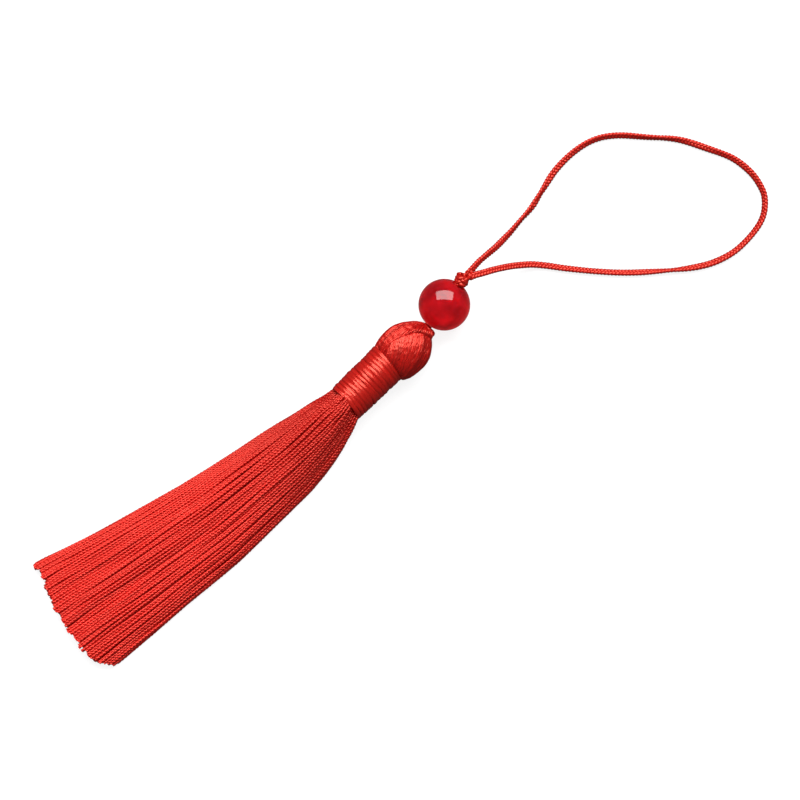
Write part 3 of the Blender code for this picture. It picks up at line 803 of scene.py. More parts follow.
def weights(room, count, spacing):
    """How far each thread has come up at each station, from 0 to 1."""
    order = (np.arange(count) * GOLDEN + 0.31) % 1.0
    shown = np.clip(room / spacing / count, 0, 1)
    weight = smooth_step((shown[None] - order[:, None]) / COMES_UP_OVER + 0.5)
    if count * spacing < room[-1]:
        weight = np.maximum(weight, (STATIONS < LOOSE_END)[None] * 1.0)
    return weight


def gaps_beside(count, slits, tuft):
    """Extra width after each thread: slits between loose clumps, and gaps between tufts at the cut."""
    gap = np.zeros((count, len(STATIONS)))
    for _ in range(slits):
        i = int(SKIRT_RANDOM.integers(2, count - 2))
        middle = SKIRT_RANDOM.uniform(-40, 2)
        long = SKIRT_RANDOM.uniform(8, 22)
        gap[i] += SKIRT_RANDOM.uniform(0.10, 0.36) * np.exp(-((STATIONS - middle) / long) ** 2)
    tuft_ends = np.concatenate([tuft[1:] != tuft[:-1], [False]])
    near_cut = smooth_step((TUFTS_FROM - STATIONS) / TUFTS_OVER)
    return gap + tuft_ends[:, None] * near_cut[None] * SKIRT_RANDOM.uniform(0.05, 0.30, count)[:, None]


print("stations along the skirt:", len(STATIONS))


# %% Wandering lines and fine ones
def waves(places, amplitude, longest, shortest, parts=3):
    """A smooth wander along the skirt, made of a few waves with random starts."""
    total = np.zeros_like(places)
    for _ in range(parts):
        length = SKIRT_RANDOM.uniform(shortest, longest)
        total += np.sin(2 * math.pi * places / length + SKIRT_RANDOM.uniform(0, 2 * math.pi))
    return amplitude * total / math.sqrt(parts)


def fine(line, outward, spacing):
    """A thread's points again, smooth and evenly spaced, with its outward directions."""
    smooth = smooth_line(line, spacing, fine=8)
    share = lengths_along(smooth) / lengths_along(smooth)[-1]
    coarse = lengths_along(line) / lengths_along(line)[-1]
    out = np.stack([np.interp(share, coarse, outward[:, c]) for c in range(3)], axis=1)
    return smooth, square_to(out, directions(smooth))


print("random numbers come from", type(SKIRT_RANDOM.bit_generator).__name__)

# %% Laying the outer threads
SUNK = 0.55  # mm that a hidden thread lies below the others
MOST_LIFT = 0.16
SWAY = 0.09


def outer_threads(top, count, spacing, slits, loose):
    """Middle points (thread, station, 3) and outward directions of the threads that lie outside."""
    tuft, stand = tufts(count)
    facing = 1 if top else -1
    arcs = []
    for x in STATIONS:
        arc, outward = inset(rounded(arc_of(section(x), top)), facing * THREAD_ACROSS / 2)
        arcs.append((arc, outward * facing, lengths_along(arc)))
    weight = weights(np.array([along[-1] for arc, outward, along in arcs]), count, spacing)
    gap = gaps_beside(count, slits, tuft) * weight
    gap[-1] = 0
    place = (np.cumsum(weight + gap, axis=0) - gap - weight / 2) / (weight + gap).sum(0)
    points, outs = np.zeros((2, count, len(STATIONS), 3))
    lift = np.stack([waves(STATIONS, loose, longest=34, shortest=9) for _ in range(count)])
    sway = np.stack([waves(STATIONS, SWAY, longest=60, shortest=20) for _ in range(count)])
    for k, (arc, outward, along) in enumerate(arcs):
        at = np.clip(place[:, k] * along[-1] + sway[:, k] * weight[:, k], 0, along[-1])
        y, z = (np.interp(at, along, arc[:, c]) for c in (0, 1))
        out_y, out_z = (np.interp(at, along, outward[:, c]) for c in (0, 1))
        raised = (weight[:, k] - 1) * SUNK + np.minimum(lift[:, k], MOST_LIFT)
        points[:, k] = np.stack([np.full(count, STATIONS[k]), y + out_y * raised, z + out_z * raised], axis=1)
        outs[:, k] = np.stack([np.zeros(count), out_y, out_z], axis=1)
    points[..., 2] = np.maximum(points[..., 2], THREAD_ACROSS / 2 + 0.035)  # clear of the table
    return points, outs, stand


print("threads sway by about", SWAY, "mm and lift by at most", MOST_LIFT, "mm")

# %% The outer threads
TWIST = 1.15  # a full turn of the plies, so that a bump shows every 0.57 mm
PLY_SHARE = 0.82  # of the thread's width, across its two plies
PLY_WAIST = 0.06
# Number of threads, mm between them, slits, how loosely they lie in mm, and mm between a thread's points.
ON_TOP = {"count": 60, "spacing": 0.43, "slits": 7, "loose": 0.06, "segment": 0.15}
UNDERNEATH = {"count": 44, "spacing": 0.45, "slits": 8, "loose": 0.0, "segment": 0.26}
UNDER_SHORTER = 0.35  # so that the top threads' cut shows from above
PAINTED_SHADE_FROM, PAINTED_SHADE_OVER = -14, 18  # from here to the neck, threads packed closer take less and less light, painted as darker colour: painted shade


def lay_outer(top, segment, **how):
    """Threads over the top or under the bottom, each cut and made smooth."""
    lines = Lines()
    points, outs, stand = outer_threads(top, **how)
    for line, outward in cut_off(points, outs, stand if top else stand - UNDER_SHORTER):
        smooth, out = fine(line, outward, segment)
        # Nearer the neck each thread's tone goes darker: painted shade of the packed threads.
        packed = smooth_step((smooth[:, 0] - PAINTED_SHADE_FROM) / PAINTED_SHADE_OVER)
        lines.lay(smooth, out, phase=SKIRT_RANDOM.uniform(), shade=SKIRT_RANDOM.beta(2.2, 1.6) * (1 - packed),
                  width=SKIRT_RANDOM.uniform(0.92, 1.08))
    return lines


def skirt_piece(name, rows):
    """One piece of the skirt, whose threads are numbered from its own first one."""
    lines = Lines()
    lines.rows = rows
    finish = thread_finish(f"{name}_silk", lines, "#F62A24", "#B41210", "#AE0705", painted_groove_shade_strength=0.34)
    piece = sweep(name, lines, finish, THREAD_ACROSS, THREAD_ACROSS * PLY_SHARE, waist=PLY_WAIST, twist=TWIST)
    dress(piece, "thread_hank")


top_rows = lay_outer(True, **ON_TOP).rows
skirt_piece("skirt_threads_left", top_rows[:len(top_rows) // 2])
skirt_piece("skirt_threads_right", top_rows[len(top_rows) // 2:])
skirt_piece("skirt_threads_under", lay_outer(False, **UNDERNEATH).rows)

# %% The threads inside
INNER_HEIGHTS = (0.12, 0.25, 0.38, 0.51, 0.64, 0.75)  # shares of the skirt's own height
INNER_COLUMNS = 44
INNER_REACH = 0.92  # of the half width
INNER_SHORTER = 0.20  # than the outer ones, so that notches stay open
INNER_NARROWED, INNER_LOWERED = 0.90, 0.30  # share of its place that a thread keeps, and loses in height
INNER_SWAY = 0.05
INNER_ACROSS, INNER_HEIGHT, INNER_STEP = 0.46, 0.42, 4.0


def inner_thread(across, up, stand):
    """One thread inside the skirt. It keeps lower and nearer the middle the further out it lies."""
    place = across * INNER_NARROWED, up * (1 - INNER_LOWERED * across ** 2)
    points = np.array([(x, *skirt_point(section(x), *place)) for x in STATIONS[::2]])
    points[:, 1] += waves(points[:, 0], INNER_SWAY, longest=30, shortest=10)
    out = np.broadcast_to(UP, points.shape)
    return cut_off([points], [out], [stand - INNER_SHORTER], jitter=0.20)[0]


def inner_threads():
    """Threads inside the skirt, row over row, each row shifted by half a thread."""
    lines = Lines()
    for row, up in enumerate(INNER_HEIGHTS):
        stand = tufts(INNER_COLUMNS)[1]
        for column in range(INNER_COLUMNS):
            share = (column + 0.5 * (row % 2)) / (INNER_COLUMNS - 0.5)
            across = INNER_REACH * (2 * share - 1) + SKIRT_RANDOM.uniform(-0.008, 0.008)
            line, outward = inner_thread(across, up, stand[column])
            smooth, out = fine(line, outward, INNER_STEP)
            # Their tones are drawn from the darker half only: painted shade of the threads over them.
            lines.lay(smooth, out, shade=SKIRT_RANDOM.uniform(0.0, 0.5))
    return lines


inner_lines = inner_threads()
# Silk in the shade of the threads over it, so it is duller and deeper: its darker colours are painted shade.
inner_finish = thread_finish(
    "skirt_threads_inside_silk", inner_lines, "#DC1C18", "#B80E0B", "#980604", roughness=0.6,
)
inner_piece = sweep("skirt_threads_inside", inner_lines, inner_finish, INNER_ACROSS, INNER_HEIGHT, sides=4)
dress(inner_piece, "thread_hank")

# %% [markdown]
# ## The head
# The head is the fold of the hank, stuffed round by its own threads. A bundle of them runs from the knot over
# the top to the neck, and the rest come out from under its edge and fall round the ball, so a lip shows
# between the two. Each thread is drawn as a line on a slightly uneven ball. One rule lays lines from the
# knot to the neck all round, lifted into a ridge beside the lip, and another lays a fuller second layer from
# the lip downwards.

# %% The head's shape
NECK_AHEAD = unit(NECK_END - NECK_START)
NECK_UP = square_to(UP, NECK_AHEAD)
NECK_SIDE = np.cross(NECK_UP, NECK_AHEAD)  # towards +Y
HEAD_MIDDLE = np.array((25.9, 0.0, 3.95))
HEAD_ACROSS, HEAD_UP, HEAD_AHEAD = 4.02, 4.02, 4.2  # the ball's half sizes
GATHER = unit(np.array((4.25, 0.70, 1.15)))  # from the middle to where the knot draws the threads together
PEAK, PEAK_SPREAD = 0.80, 0.11  # how far the gather is drawn out towards the knot
FULLNESS = 0.36  # below 1, the ball stays full towards the neck
FULLEST = 1.45
HEAD_RANDOM = np.random.default_rng(5)


def head_surface(ways, inside):
    """Points on the head in these directions from its middle, this far inside its surface."""
    ahead, up, side = (ways @ axis for axis in (NECK_AHEAD, NECK_UP, NECK_SIDE))
    sideways = np.sqrt(np.maximum(1 - ahead ** 2, 1e-9))
    full = np.where(ahead < 0, np.minimum(sideways ** (FULLNESS - 1), FULLEST), 1.0)
    peak = PEAK * np.exp((ways @ GATHER - 1) / PEAK_SPREAD)
    inward = 1 - (np.asarray(inside) - peak) / HEAD_ACROSS
    points = (
        (ahead * HEAD_AHEAD * inward)[:, None] * NECK_AHEAD
        + (up * HEAD_UP * full * inward)[:, None] * NECK_UP
        + (side * HEAD_ACROSS * full * inward)[:, None] * NECK_SIDE
    )
    return HEAD_MIDDLE + points


GATHERED_AT = head_surface(GATHER[None], 0.0)[0]
print("threads are gathered at", GATHERED_AT.round(2))

# %% The lip between the bundles
# Places of the lip on the upper side of the ball, in mm right of its middle and up from it, as the camera
# sees it.
LIP_PLACES = np.array((
    (-2.35, -0.45), (-2.15, 0.15), (-1.84, 1.05), (-1.34, 1.52), (-0.27, 1.98), (1.14, 2.50), (2.20, 2.42),
    (2.92, 2.10), (3.55, 1.72),
))
BALL = 4.1  # radius of the plain ball on which the lip is laid out


def on_ball(right, up, least=0.04):
    """Directions from the head's middle of places that the camera sees at these distances from it."""
    out = np.sqrt(np.maximum(BALL ** 2 - right ** 2 - up ** 2, least))
    return unit(right[..., None] * VIEW_RIGHT + up[..., None] * VIEW_UP + out[..., None] * VIEW_BACK)


LIP = unit(smooth_line(on_ball(*LIP_PLACES.T) * BALL, 0.1))
LIP_AHEAD = directions(LIP)
LIP_ABOVE = unit(np.cross(LIP, LIP_AHEAD))
print("lip length in mm:", round(float(lengths_along(LIP * BALL)[-1]), 1))

# %% How the threads stand up beside the lip
RIDGE, RIDGE_WIDTH = 0.50, 0.9  # how far the upper bundle stands up beside the lip, and how wide
UNDER_LIP = 0.55  # how far the first layer drops below the lip
LIP_EDGE = 0.5  # mm over which it drops
LIP_BACK_AT, LIP_BACK_OVER = 2.5, 2.0  # mm below the lip where it starts to come back up, and over how far
LIP_GROWS_AT, LIP_GROWS_OVER = 0.25, 0.45  # shares of the lip's length
LIP_FADES_OVER = 0.9  # mm past its ends


def lip_rise(ways):
    """How far threads in these directions stand up, above the lip, or drop, below it."""
    nearest = np.argmax(ways @ LIP.T, axis=1)
    apart = BALL * (ways - LIP[nearest])
    past = (apart * LIP_ABOVE[nearest]).sum(1)  # mm above the lip, negative below it
    beyond = np.abs((apart * LIP_AHEAD[nearest]).sum(1))
    grown = smooth_step((nearest / len(LIP) - LIP_GROWS_AT) / LIP_GROWS_OVER)
    above = RIDGE * np.exp(-(np.maximum(past, 0) / RIDGE_WIDTH) ** 2)
    below = (RIDGE + UNDER_LIP) * smooth_step(-past / LIP_EDGE)
    back = UNDER_LIP * smooth_step((-past - LIP_BACK_AT) / LIP_BACK_OVER)
    return grown * (1 - smooth_step(beyond / LIP_FADES_OVER)) * (above - below + back)


print("threads on the lip's edge rise by", lip_rise(LIP[::20]).round(2), "mm along it")

# %% Laying threads on the head
HEAD_STEP = 0.17
HEAD_LEAST = 0.22  # height of a thread's middle where the head rests on the table
HEAD_DEPTH = 0.15  # of a thread's middle under the head's surface
CRIMP, SLOW_CRIMP = 0.018, 0.018
KNOT_SHADE_TO, KNOT_SHADE_FADES_OVER = 0.8, 2.0  # mm from the gather where threads take no light, and over which they open: painted shade of the knot and bead, darkening their colour


def crimp(share):
    """The small waves that a thread keeps from its twist, and slower ones from the way it lies."""
    fast = CRIMP * np.sin(share * HEAD_RANDOM.uniform(40, 56) + HEAD_RANDOM.uniform(0, 7))
    return fast + SLOW_CRIMP * np.sin(share * HEAD_RANDOM.uniform(10, 22) + HEAD_RANDOM.uniform(0, 7))


def lay_on_head(lines, ways, inside):
    """Lays a thread over the head, this far inside its surface and above the table."""
    points = head_surface(ways, inside)
    points[:, 2] = np.maximum(points[:, 2], HEAD_LEAST)
    smooth, out = fine(points, ways, HEAD_STEP)
    # Threads are painted darker near the gather: painted shade where the knot and the bead shade them.
    from_knot = np.linalg.norm(smooth - GATHERED_AT, axis=1)
    out_of_knot_shade = smooth_step((from_knot - KNOT_SHADE_TO) / KNOT_SHADE_FADES_OVER)
    shade = HEAD_RANDOM.beta(2, 1.6) * out_of_knot_shade
    lines.lay(smooth, out, phase=HEAD_RANDOM.uniform(), shade=shade, width=HEAD_RANDOM.uniform(0.9, 1.1))


print("a thread's middle lies", HEAD_DEPTH, "mm under the head's surface")

# %% Threads from the knot to the neck
HEAD_THREADS = 104
HEAD_SPACING = 0.29
HEAD_COMES_UP_OVER = 0.14  # share of all threads that are on their way up at one place
HEAD_HIDDEN = 0.25  # mm that a hidden thread lies below the others
LEAST_SHOWN = 0.12
POLAR = np.radians(np.linspace(3, 152, 120))  # angles from the gather to the neck
SWIRL = 0.20  # how far round, in radians, threads lean on their way
WAVE, SHARED_WAVE = 0.008, 0.013  # radians that a thread wanders by itself, and with its neighbours


def head_way(polar, around):
    """A direction this far round the head from the gather; the far pole is the neck."""
    share = smooth_step(polar / math.pi)[:, None]
    pole = unit(GATHER * (1 - share) + NECK_AHEAD * share)
    up = unit(UP - (pole @ UP)[:, None] * pole)
    side = np.cross(up, pole)
    ring = np.cos(around)[:, None] * up - np.sin(around)[:, None] * side
    return np.cos(polar)[:, None] * pole + np.sin(polar)[:, None] * ring


def knot_to_neck(lines):
    """Lays the threads that cover the whole head."""
    order = (np.arange(HEAD_THREADS) * GOLDEN + 0.17) % 1.0
    room = 2 * math.pi * HEAD_UP * np.sin(POLAR)
    shown = np.clip(room / HEAD_SPACING / HEAD_THREADS, LEAST_SHOWN, 1)
    weight = smooth_step((shown[None] - order[:, None]) / HEAD_COMES_UP_OVER + 0.5)
    place = (np.cumsum(weight, axis=0) - weight / 2) / weight.sum(0)
    for i in range(HEAD_THREADS):
        wave = WAVE * np.sin(POLAR * HEAD_RANDOM.uniform(9, 17) + HEAD_RANDOM.uniform(0, 7))
        wave += SHARED_WAVE * np.sin(POLAR * 24 + 2.5 * np.sin(12 * place[i]))
        ways = head_way(POLAR, 2 * math.pi * place[i] + wave + SWIRL * np.sin(POLAR - 0.4))
        depth = HEAD_DEPTH + HEAD_HIDDEN * (1 - weight[i])
        lay_on_head(lines, ways, depth - crimp(POLAR / math.pi) - lip_rise(ways))


head_threads = Lines()
knot_to_neck(head_threads)
print("threads from the knot to the neck:", len(head_threads.rows))

# %% Ways from the lip to the neck
LIP_THREADS = 48
LIP_START = 0.35  # mm that they start above the lip, hidden under the upper bundle
FULL = 0.22  # how much fuller this layer makes the ball
# Where the threads of the lip's left end, middle and right end are drawn towards, as the camera sees it.
TURN_LEFT, TURN_MIDDLE, TURN_RIGHT = (-2.6, -1.0), (0.3, -0.3), (4.0, -0.9)
NECK_LEFT, NECK_RIGHT = math.radians(24), math.radians(-112)  # round the neck, where they end
NECK_POLAR = math.radians(150)
LIP_STEPS = 90
STARTS_UNDER, ENDS_UNDER = 0.40, 0.1  # mm that they start and end below the others


def lip_way(at):
    """Directions along a thread that starts at this share of the lip's length."""
    places = np.linspace(0, 1, len(LIP))
    start = np.array([np.interp(at, places, LIP[:, c]) for c in range(3)])
    above = np.array([np.interp(at, places, LIP_ABOVE[:, c]) for c in range(3)])
    turn = [np.interp(at, (0, 0.5, 1), row) for row in zip(TURN_LEFT, TURN_MIDDLE, TURN_RIGHT)]
    middle = on_ball(*np.array(turn), least=0.3)
    angle = NECK_LEFT + (NECK_RIGHT - NECK_LEFT) * at + HEAD_RANDOM.uniform(-0.04, 0.04)
    ring = math.cos(angle) * NECK_UP + math.sin(angle) * NECK_SIDE
    end = math.cos(NECK_POLAR) * NECK_AHEAD + math.sin(NECK_POLAR) * ring
    s = np.linspace(0, 1, LIP_STEPS)[:, None]
    return unit((1 - s) ** 2 * (start + above * LIP_START / BALL) + 2 * s * (1 - s) * middle + s ** 2 * end)


print("threads from the lip downwards:", LIP_THREADS)


# %% Threads from the lip downwards
def lip_to_neck(lines):
    """Lays the second layer, from under the upper bundle's edge down to the neck."""
    share = np.linspace(0, 1, LIP_STEPS)
    for i in range(LIP_THREADS):
        at = (i + 0.5) / LIP_THREADS
        ways = lip_way(at)
        together = SHARED_WAVE * np.sin(44 * share + 2.5 * np.sin(9 * at) + HEAD_RANDOM.uniform(0, 1.2))
        ways = unit(ways + together[:, None] * np.cross(ways, directions(ways)))
        fuller = FULL * math.sin(math.pi * at) ** 0.5 * np.sin(math.pi * share) ** 0.7
        tucked = STARTS_UNDER * (1 - smooth_step(share / 0.10))
        tucked += ENDS_UNDER * smooth_step((share - 0.85) / 0.15)
        lay_on_head(lines, ways, HEAD_DEPTH + tucked - fuller - crimp(share))


lip_to_neck(head_threads)
print("threads on the head:", len(head_threads.rows))

# %% The head piece
HEAD_THREAD_ACROSS, HEAD_THREAD_HEIGHT = 0.36, 0.34
# Thin crimped silk, drawn tight: fine streaks, bright on the ball, with painted shade deep in the grooves
# between threads.
head_finish = thread_finish(
    "head_silk", head_threads, "#DE1E1A", "#AC0F0D", "#780506", lobes=1, pattern=CRIMPED, roughness=0.31,
    painted_groove_shade_strength=0.45, relief=0.05,
)
head_piece = sweep("head_threads", head_threads, head_finish, HEAD_THREAD_ACROSS, HEAD_THREAD_HEIGHT)
dress(head_piece, "thread_hank")

# %% The finish of packed threads
# Silk packed tight and in the shade, so it is dull and deep red with soft patches: the dull deep red is
# painted shade.
PATCHES_PER_METRE = 900.0  # a patch is about 1.1 mm
filling_finish, filling_tree, filling_shader = new_finish("packed_silk_painted_shade", Roughness=0.7)
filling_place = add(filling_tree, "ShaderNodeTexCoord").outputs["Object"]
filling_noise = add(
    filling_tree, "ShaderNodeTexNoise", Vector=filling_place, Scale=PATCHES_PER_METRE, Detail=2.0,
)
filling_colour = add(
    filling_tree, "ShaderNodeMix", {"data_type": "RGBA"}, _0=filling_noise.outputs["Fac"],
    _6=linear("#8C0A08"), _7=linear("#AA120E"),
)
filling_tree.links.new(filling_colour.outputs[2], filling_shader.inputs["Base Color"])
print("packed threads are finished in", filling_finish.name)

# %% What lies under the head's threads
FILLING_DEPTH = 0.24  # under the head's surface
FILLING_LEAST = 0.05  # its height over the table


def filled_ball():
    """A closed ball just under the head's threads, painted dark for shade, so that no daylight shows between
    them.
    """
    work = bmesh.new()
    bmesh.ops.create_uvsphere(work, u_segments=40, v_segments=28, radius=1)
    ways = unit(np.array([vertex.co for vertex in work.verts]))
    ways = ways[:, 2:] * NECK_AHEAD + ways[:, 1:2] * NECK_UP + ways[:, :1] * NECK_SIDE
    points = head_surface(ways, FILLING_DEPTH - 0.5 * np.minimum(lip_rise(ways), 0.0))
    points[:, 2] = np.maximum(points[:, 2], FILLING_LEAST)
    for vertex, point in zip(work.verts, points):
        vertex.co = Vector(point * MM)
    return closed_mesh("head_filling", work)


head_filling = set_out("head_filling", filled_ball(), filling_finish)
dress(head_filling, "thread_hank")

# %% [markdown]
# ## The winding
# Below the head one long satin thread is wound tightly round the neck, about fourteen turns. It isn't
# twisted, so it lies flat, and its fine filaments run round the neck and make short bright streaks along the
# top.

# %% The winding's route
WINDING_TURNS = 14
WINDING_START, WINDING_END = -0.28, 8.72  # along the neck's axis from its start
WINDING_RADIUS = 3.09
WINDING_FLARE = 0.11  # wider by this at the head's end, narrower at the skirt's
WINDING_ACROSS, WINDING_THICK = 0.86, 0.23
WINDING_STEPS = 48  # in a turn
UNEVEN_EVERY = 0.125  # of a turn
RISE, SLIP, TILT = 0.045, 0.09, 0.30  # most that it rides up, slips aside and leans


def winding_threads():
    """One turn of the flat thread after another, each a little higher or lower and nearer its neighbour."""
    lines = Lines()
    rng = np.random.default_rng(3)
    turn = np.linspace(0, WINDING_TURNS, WINDING_TURNS * WINDING_STEPS + 1)
    share = turn / WINDING_TURNS
    corners = np.arange(0, WINDING_TURNS + 0.01, UNEVEN_EVERY)
    rise, slip, tilt = (
        np.interp(turn, corners, rng.uniform(-most, most, len(corners))) for most in (RISE, SLIP, TILT)
    )
    along = WINDING_START + (WINDING_END - WINDING_START) * share + slip
    radius = WINDING_RADIUS + WINDING_FLARE * (2 * share - 1) ** 3 + rise
    angle = 2 * math.pi * (turn + 0.5)  # so that both ends lie underneath
    out = np.cos(angle)[:, None] * NECK_UP + np.sin(angle)[:, None] * NECK_SIDE
    line = NECK_START + along[:, None] * NECK_AHEAD + radius[:, None] * out
    faces = unit(out + tilt[:, None] * NECK_AHEAD)
    for first in range(0, WINDING_TURNS * WINDING_STEPS, WINDING_STEPS):
        part = slice(first, first + WINDING_STEPS + 1)
        lines.lay(line[part], faces[part], shade=rng.uniform(0.1, 0.9), width=rng.uniform(0.92, 1.06))
    return lines


winding_lines = winding_threads()
winding_length = sum(row["along"][-1] for row in winding_lines.rows) / MM
print("length of the winding thread in mm:", round(winding_length))

# %% The winding piece
# Satin: filament that isn't twisted, laid flat. It mirrors the lamp sharply across each turn, with a little
# painted shade along one edge of each turn.
winding_finish = thread_finish(
    "winding_satin", winding_lines, "#E2241D", "#9A0F0B", "#600403", lobes=1, pattern=LAID_FLAT, streaks=0.7,
    roughness=0.27, painted_groove_shade_strength=0.2, relief=0.10,
)
winding_piece = sweep("neck_winding", winding_lines, winding_finish, WINDING_ACROSS, WINDING_THICK, sides=10)
dress(winding_piece, "neck_binding")

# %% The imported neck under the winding
NECK_FILLED_RADIUS, NECK_FILLED_LONG = 2.82, 8.4


def filled_neck():
    """A closed cylinder that fills the winding."""
    work = bmesh.new()
    bmesh.ops.create_cone(
        work, cap_ends=True, segments=32, radius1=NECK_FILLED_RADIUS * MM, radius2=NECK_FILLED_RADIUS * MM,
        depth=NECK_FILLED_LONG * MM,
    )
    turned = Matrix((Vector(NECK_SIDE), Vector(NECK_UP), Vector(NECK_AHEAD))).transposed()
    middle = Vector((NECK_START + NECK_AHEAD * NECK_FILLED_LONG / 2) * MM)
    work.transform(Matrix.Translation(middle) @ turned.to_4x4())
    return closed_mesh("neck_filling", work)


neck_filling = set_out("neck_filling", filled_neck(), filling_finish)
dress(neck_filling, "thread_hank")

# %% [markdown]
# ## The bead
# The bead is an 8 mm ball of dyed translucent stone, ground, drilled through and polished. It is a lathe
# shape: one profile, out over the ball and back through the bore with eased rims, turned about the bore.

# %% The bead's profile
BEAD_RADIUS, BORE_RADIUS, RIM = 4.0, 1.1, 0.14
BEAD_AROUND, BEAD_OVER = 96, 56  # steps round the bore, and from rim to rim
RIM_STEPS = (0.35, 0.7, 1.0)  # shares of the quarter turn that eases a rim
BESIDE_RIM = 0.012  # radians from each rim to one more ring, which keeps its edge sharp


def bead_profile():
    """Distance from the bore's middle line, and place along it, of each point of the closed profile."""
    edge = math.asin((BORE_RADIUS + RIM) / BEAD_RADIUS)
    angle = np.linspace(edge, math.pi - edge, BEAD_OVER)
    angle = np.sort(np.concatenate([angle, [edge + BESIDE_RIM, math.pi - edge - BESIDE_RIM]]))
    profile = [(BEAD_RADIUS * math.sin(a), BEAD_RADIUS * math.cos(a)) for a in angle]
    end = profile[-1][1]
    quarter = [share * math.pi / 2 for share in RIM_STEPS]
    rim = [(BORE_RADIUS + RIM * (1 - math.sin(a)), RIM * (1 - math.cos(a))) for a in quarter]
    profile += [(radius, end + drop) for radius, drop in rim]
    profile.append((BORE_RADIUS, 0.0))
    profile += [(radius, -end - drop) for radius, drop in reversed(rim)]
    return profile


print("points on the bead's profile:", len(bead_profile()))


# %% The bead's shape
def lathed_bead():
    """The profile turned about the bore, as a closed mesh."""
    work = bmesh.new()
    profile = bead_profile()
    rings = []
    for k in range(BEAD_AROUND):
        angle = 2 * math.pi * k / BEAD_AROUND
        way = math.cos(angle) * BORE_SIDE + math.sin(angle) * BORE_UP
        places = [BEAD_MIDDLE + radius * way + along * BORE_AHEAD for radius, along in profile]
        rings.append([work.verts.new(Vector(place * MM)) for place in places])
    for here, beyond in zip(rings, rings[1:] + rings[:1]):
        for j in range(len(profile)):
            n = (j + 1) % len(profile)
            work.faces.new((here[j], here[n], beyond[n], beyond[j]))
    return closed_mesh("bead", work)


bead_mesh = lathed_bead()
print("the bead is", 2 * BEAD_RADIUS, "mm across and its bore", 2 * BORE_RADIUS, "mm")

# %% The bead's finish
# Dyed translucent stone, ground and polished. It mirrors the lamp sharply over a deep colour that light
# softens from inside, with cloudy patches, and its rim is a little paler. A painted glow, given as
# emission, stands in for light that passes through the stone.
CLOUDS_PER_METRE = 420.0  # a cloud is about 2.4 mm
bead_finish, bead_tree, bead_shader = new_finish(
    "polished_red_stone", Roughness=0.05, IOR=1.56, Subsurface_Weight=1.0, Subsurface_Scale=0.004,
    Subsurface_Radius=(1.0, 0.10, 0.08), Sheen_Weight=0.30, Sheen_Roughness=0.25,
    Emission_Color=linear("#FF0A14"),
)
bead_place = add(bead_tree, "ShaderNodeTexCoord").outputs["Object"]
bead_cloud = add(
    bead_tree, "ShaderNodeTexNoise", Vector=bead_place, Scale=CLOUDS_PER_METRE, Detail=2.0, Roughness=0.5,
)
bead_colour = add(
    bead_tree, "ShaderNodeMix", {"data_type": "RGBA"}, _0=bead_cloud.outputs["Fac"],
    _6=linear("#5C0206"), _7=linear("#94101A"),
)
bead_tree.links.new(bead_colour.outputs[2], bead_shader.inputs["Base Color"])
print("the bead is finished in", bead_finish.name)

# %% The bead's painted glow
# A painted glow: emission stands in for light that enters at the lamp's side and gathers at the far side,
# so the painted glow is stronger there. It is also stronger where the stone is clear and less where it is
# cloudy.
PAINTED_GLOW_NEAR, PAINTED_GLOW_FAR = 0.17, 0.33
PAINTED_GLOW_CLOUDY, PAINTED_GLOW_CLEAR = 0.55, 1.45
bead_from_middle = add(
    bead_tree, "ShaderNodeVectorMath", {"operation": "SUBTRACT"}, _0=bead_place, _1=tuple(BEAD_MIDDLE * MM),
)
bead_far = add(
    bead_tree, "ShaderNodeVectorMath", {"operation": "DOT_PRODUCT"},
    _0=bead_from_middle.outputs[0], _1=tuple(-VIEW_UP),
)
bead_painted_glow = add(
    bead_tree, "ShaderNodeMapRange", {"interpolation_type": "SMOOTHSTEP"}, Value=bead_far.outputs["Value"],
    From_Min=-BEAD_RADIUS * MM, From_Max=BEAD_RADIUS * MM, To_Min=PAINTED_GLOW_NEAR, To_Max=PAINTED_GLOW_FAR,
)
bead_clear = add(
    bead_tree, "ShaderNodeMapRange", Value=bead_cloud.outputs["Fac"],
    From_Min=0.3, From_Max=0.7, To_Min=PAINTED_GLOW_CLOUDY, To_Max=PAINTED_GLOW_CLEAR,
)
bead_painted_glow_strength = add(
    bead_tree, "ShaderNodeMath", {"operation": "MULTIPLY"},
    _0=bead_painted_glow.outputs["Result"], _1=bead_clear.outputs["Result"],
)
bead_tree.links.new(bead_painted_glow_strength.outputs[0], bead_shader.inputs["Emission Strength"])
bead_piece = set_out("polished_bead", bead_mesh, bead_finish)
dress(bead_piece, "bead")

# %% [markdown]
# ## The table and the light
# The table is a plain pale sheet that glows evenly, so hardly any shadow falls on it. One large soft lamp
# stands behind the tassel, high up, and its reflection is the pale window on the bead. A pale room fills the
# shadows.

# %% Floor
FLOOR_HALF = 1.6  # metres
FLOOR_CORNERS = [(x * FLOOR_HALF, y * FLOOR_HALF, 0) for x, y in ((-1, -1), (1, -1), (1, 1), (-1, 1))]
floor_mesh = bpy.data.meshes.new("floor")
floor_mesh.from_pydata(FLOOR_CORNERS, [], [(0, 1, 2, 3)])
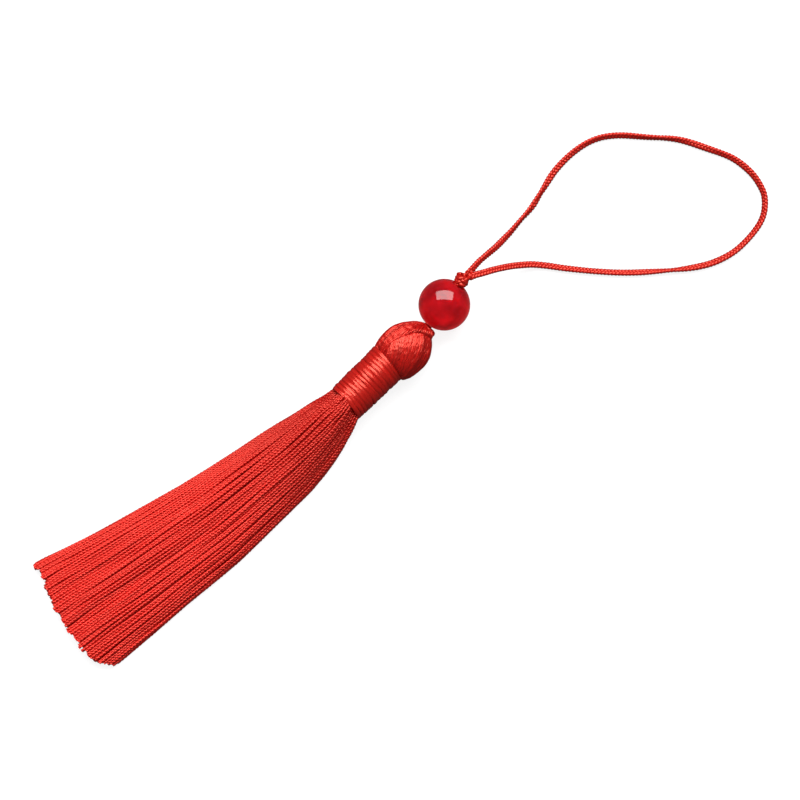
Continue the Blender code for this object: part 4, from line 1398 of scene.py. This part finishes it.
# A matt white sheet, lit so evenly that it glows just below white.
floor_finish = new_finish(
    "lit_white_table", Base_Color=linear("#7C7C7C"), Roughness=0.9, Emission_Color=linear("#FFFFFF"),
    Emission_Strength=0.85,
)[0]
floor = set_out("floor", floor_mesh, floor_finish)
floor.visible_glossy = False  # it doesn't show in the bead and the satin, which keep their deep lower sides
floor.visible_diffuse = False  # nor does it throw light up under the tassel

# %% Lights
bpy.context.scene.view_settings.view_transform = "Standard"
KEY_WAY = unit(0.02 * VIEW_RIGHT + 0.695 * VIEW_UP + 0.719 * VIEW_BACK)


def softbox(name, way, distance, wide, tall, power):
    """A soft lamp that faces the tassel from this way. Sizes are in metres, and power in watts."""
    data = bpy.data.lights.new(name, "AREA")
    data.shape = "RECTANGLE"
    data.size = wide
    data.size_y = tall
    data.energy = power
    lamp = bpy.data.objects.new(name, data)
    bpy.context.scene.collection.objects.link(lamp)
    lamp.location = Vector(LOOKED_AT * MM + way * distance)
    lamp.rotation_euler = Vector(-way).to_track_quat("-Z", "Y").to_euler()
    print(name, "at", [round(x, 2) for x in lamp.location])
    return lamp


softbox("key_softbox", KEY_WAY, distance=0.9, wide=1.25, tall=0.70, power=15.5)
fill_lamp = softbox("overhead_fill", UP, distance=1.3, wide=1.4, tall=1.4, power=5.5)
fill_lamp.visible_glossy = False

# %% The room
# How bright the room is as it lights the tassel, as the tassel mirrors it, and as the camera sees it.
ROOM_STRENGTHS = {"lights": 0.24, "mirrored": 0.07, "seen": 1.0}
world = bpy.data.worlds.new("dim_room_with_white_walls")
world.use_nodes = True
room_tree = world.node_tree
room_tree.nodes.clear()
ray = add(room_tree, "ShaderNodeLightPath").outputs
white = {
    use: add(room_tree, "ShaderNodeBackground", Color=linear("#FFFFFF"), Strength=strength).outputs[0]
    for use, strength in ROOM_STRENGTHS.items()
}
unseen = add(
    room_tree, "ShaderNodeMixShader", _0=ray["Is Glossy Ray"], _1=white["lights"], _2=white["mirrored"],
)
whole = add(room_tree, "ShaderNodeMixShader", _0=ray["Is Camera Ray"], _1=unseen.outputs[0], _2=white["seen"])
add(room_tree, "ShaderNodeOutputWorld", Surface=whole.outputs[0])
bpy.context.scene.world = world
print("the room's strengths:", ROOM_STRENGTHS)
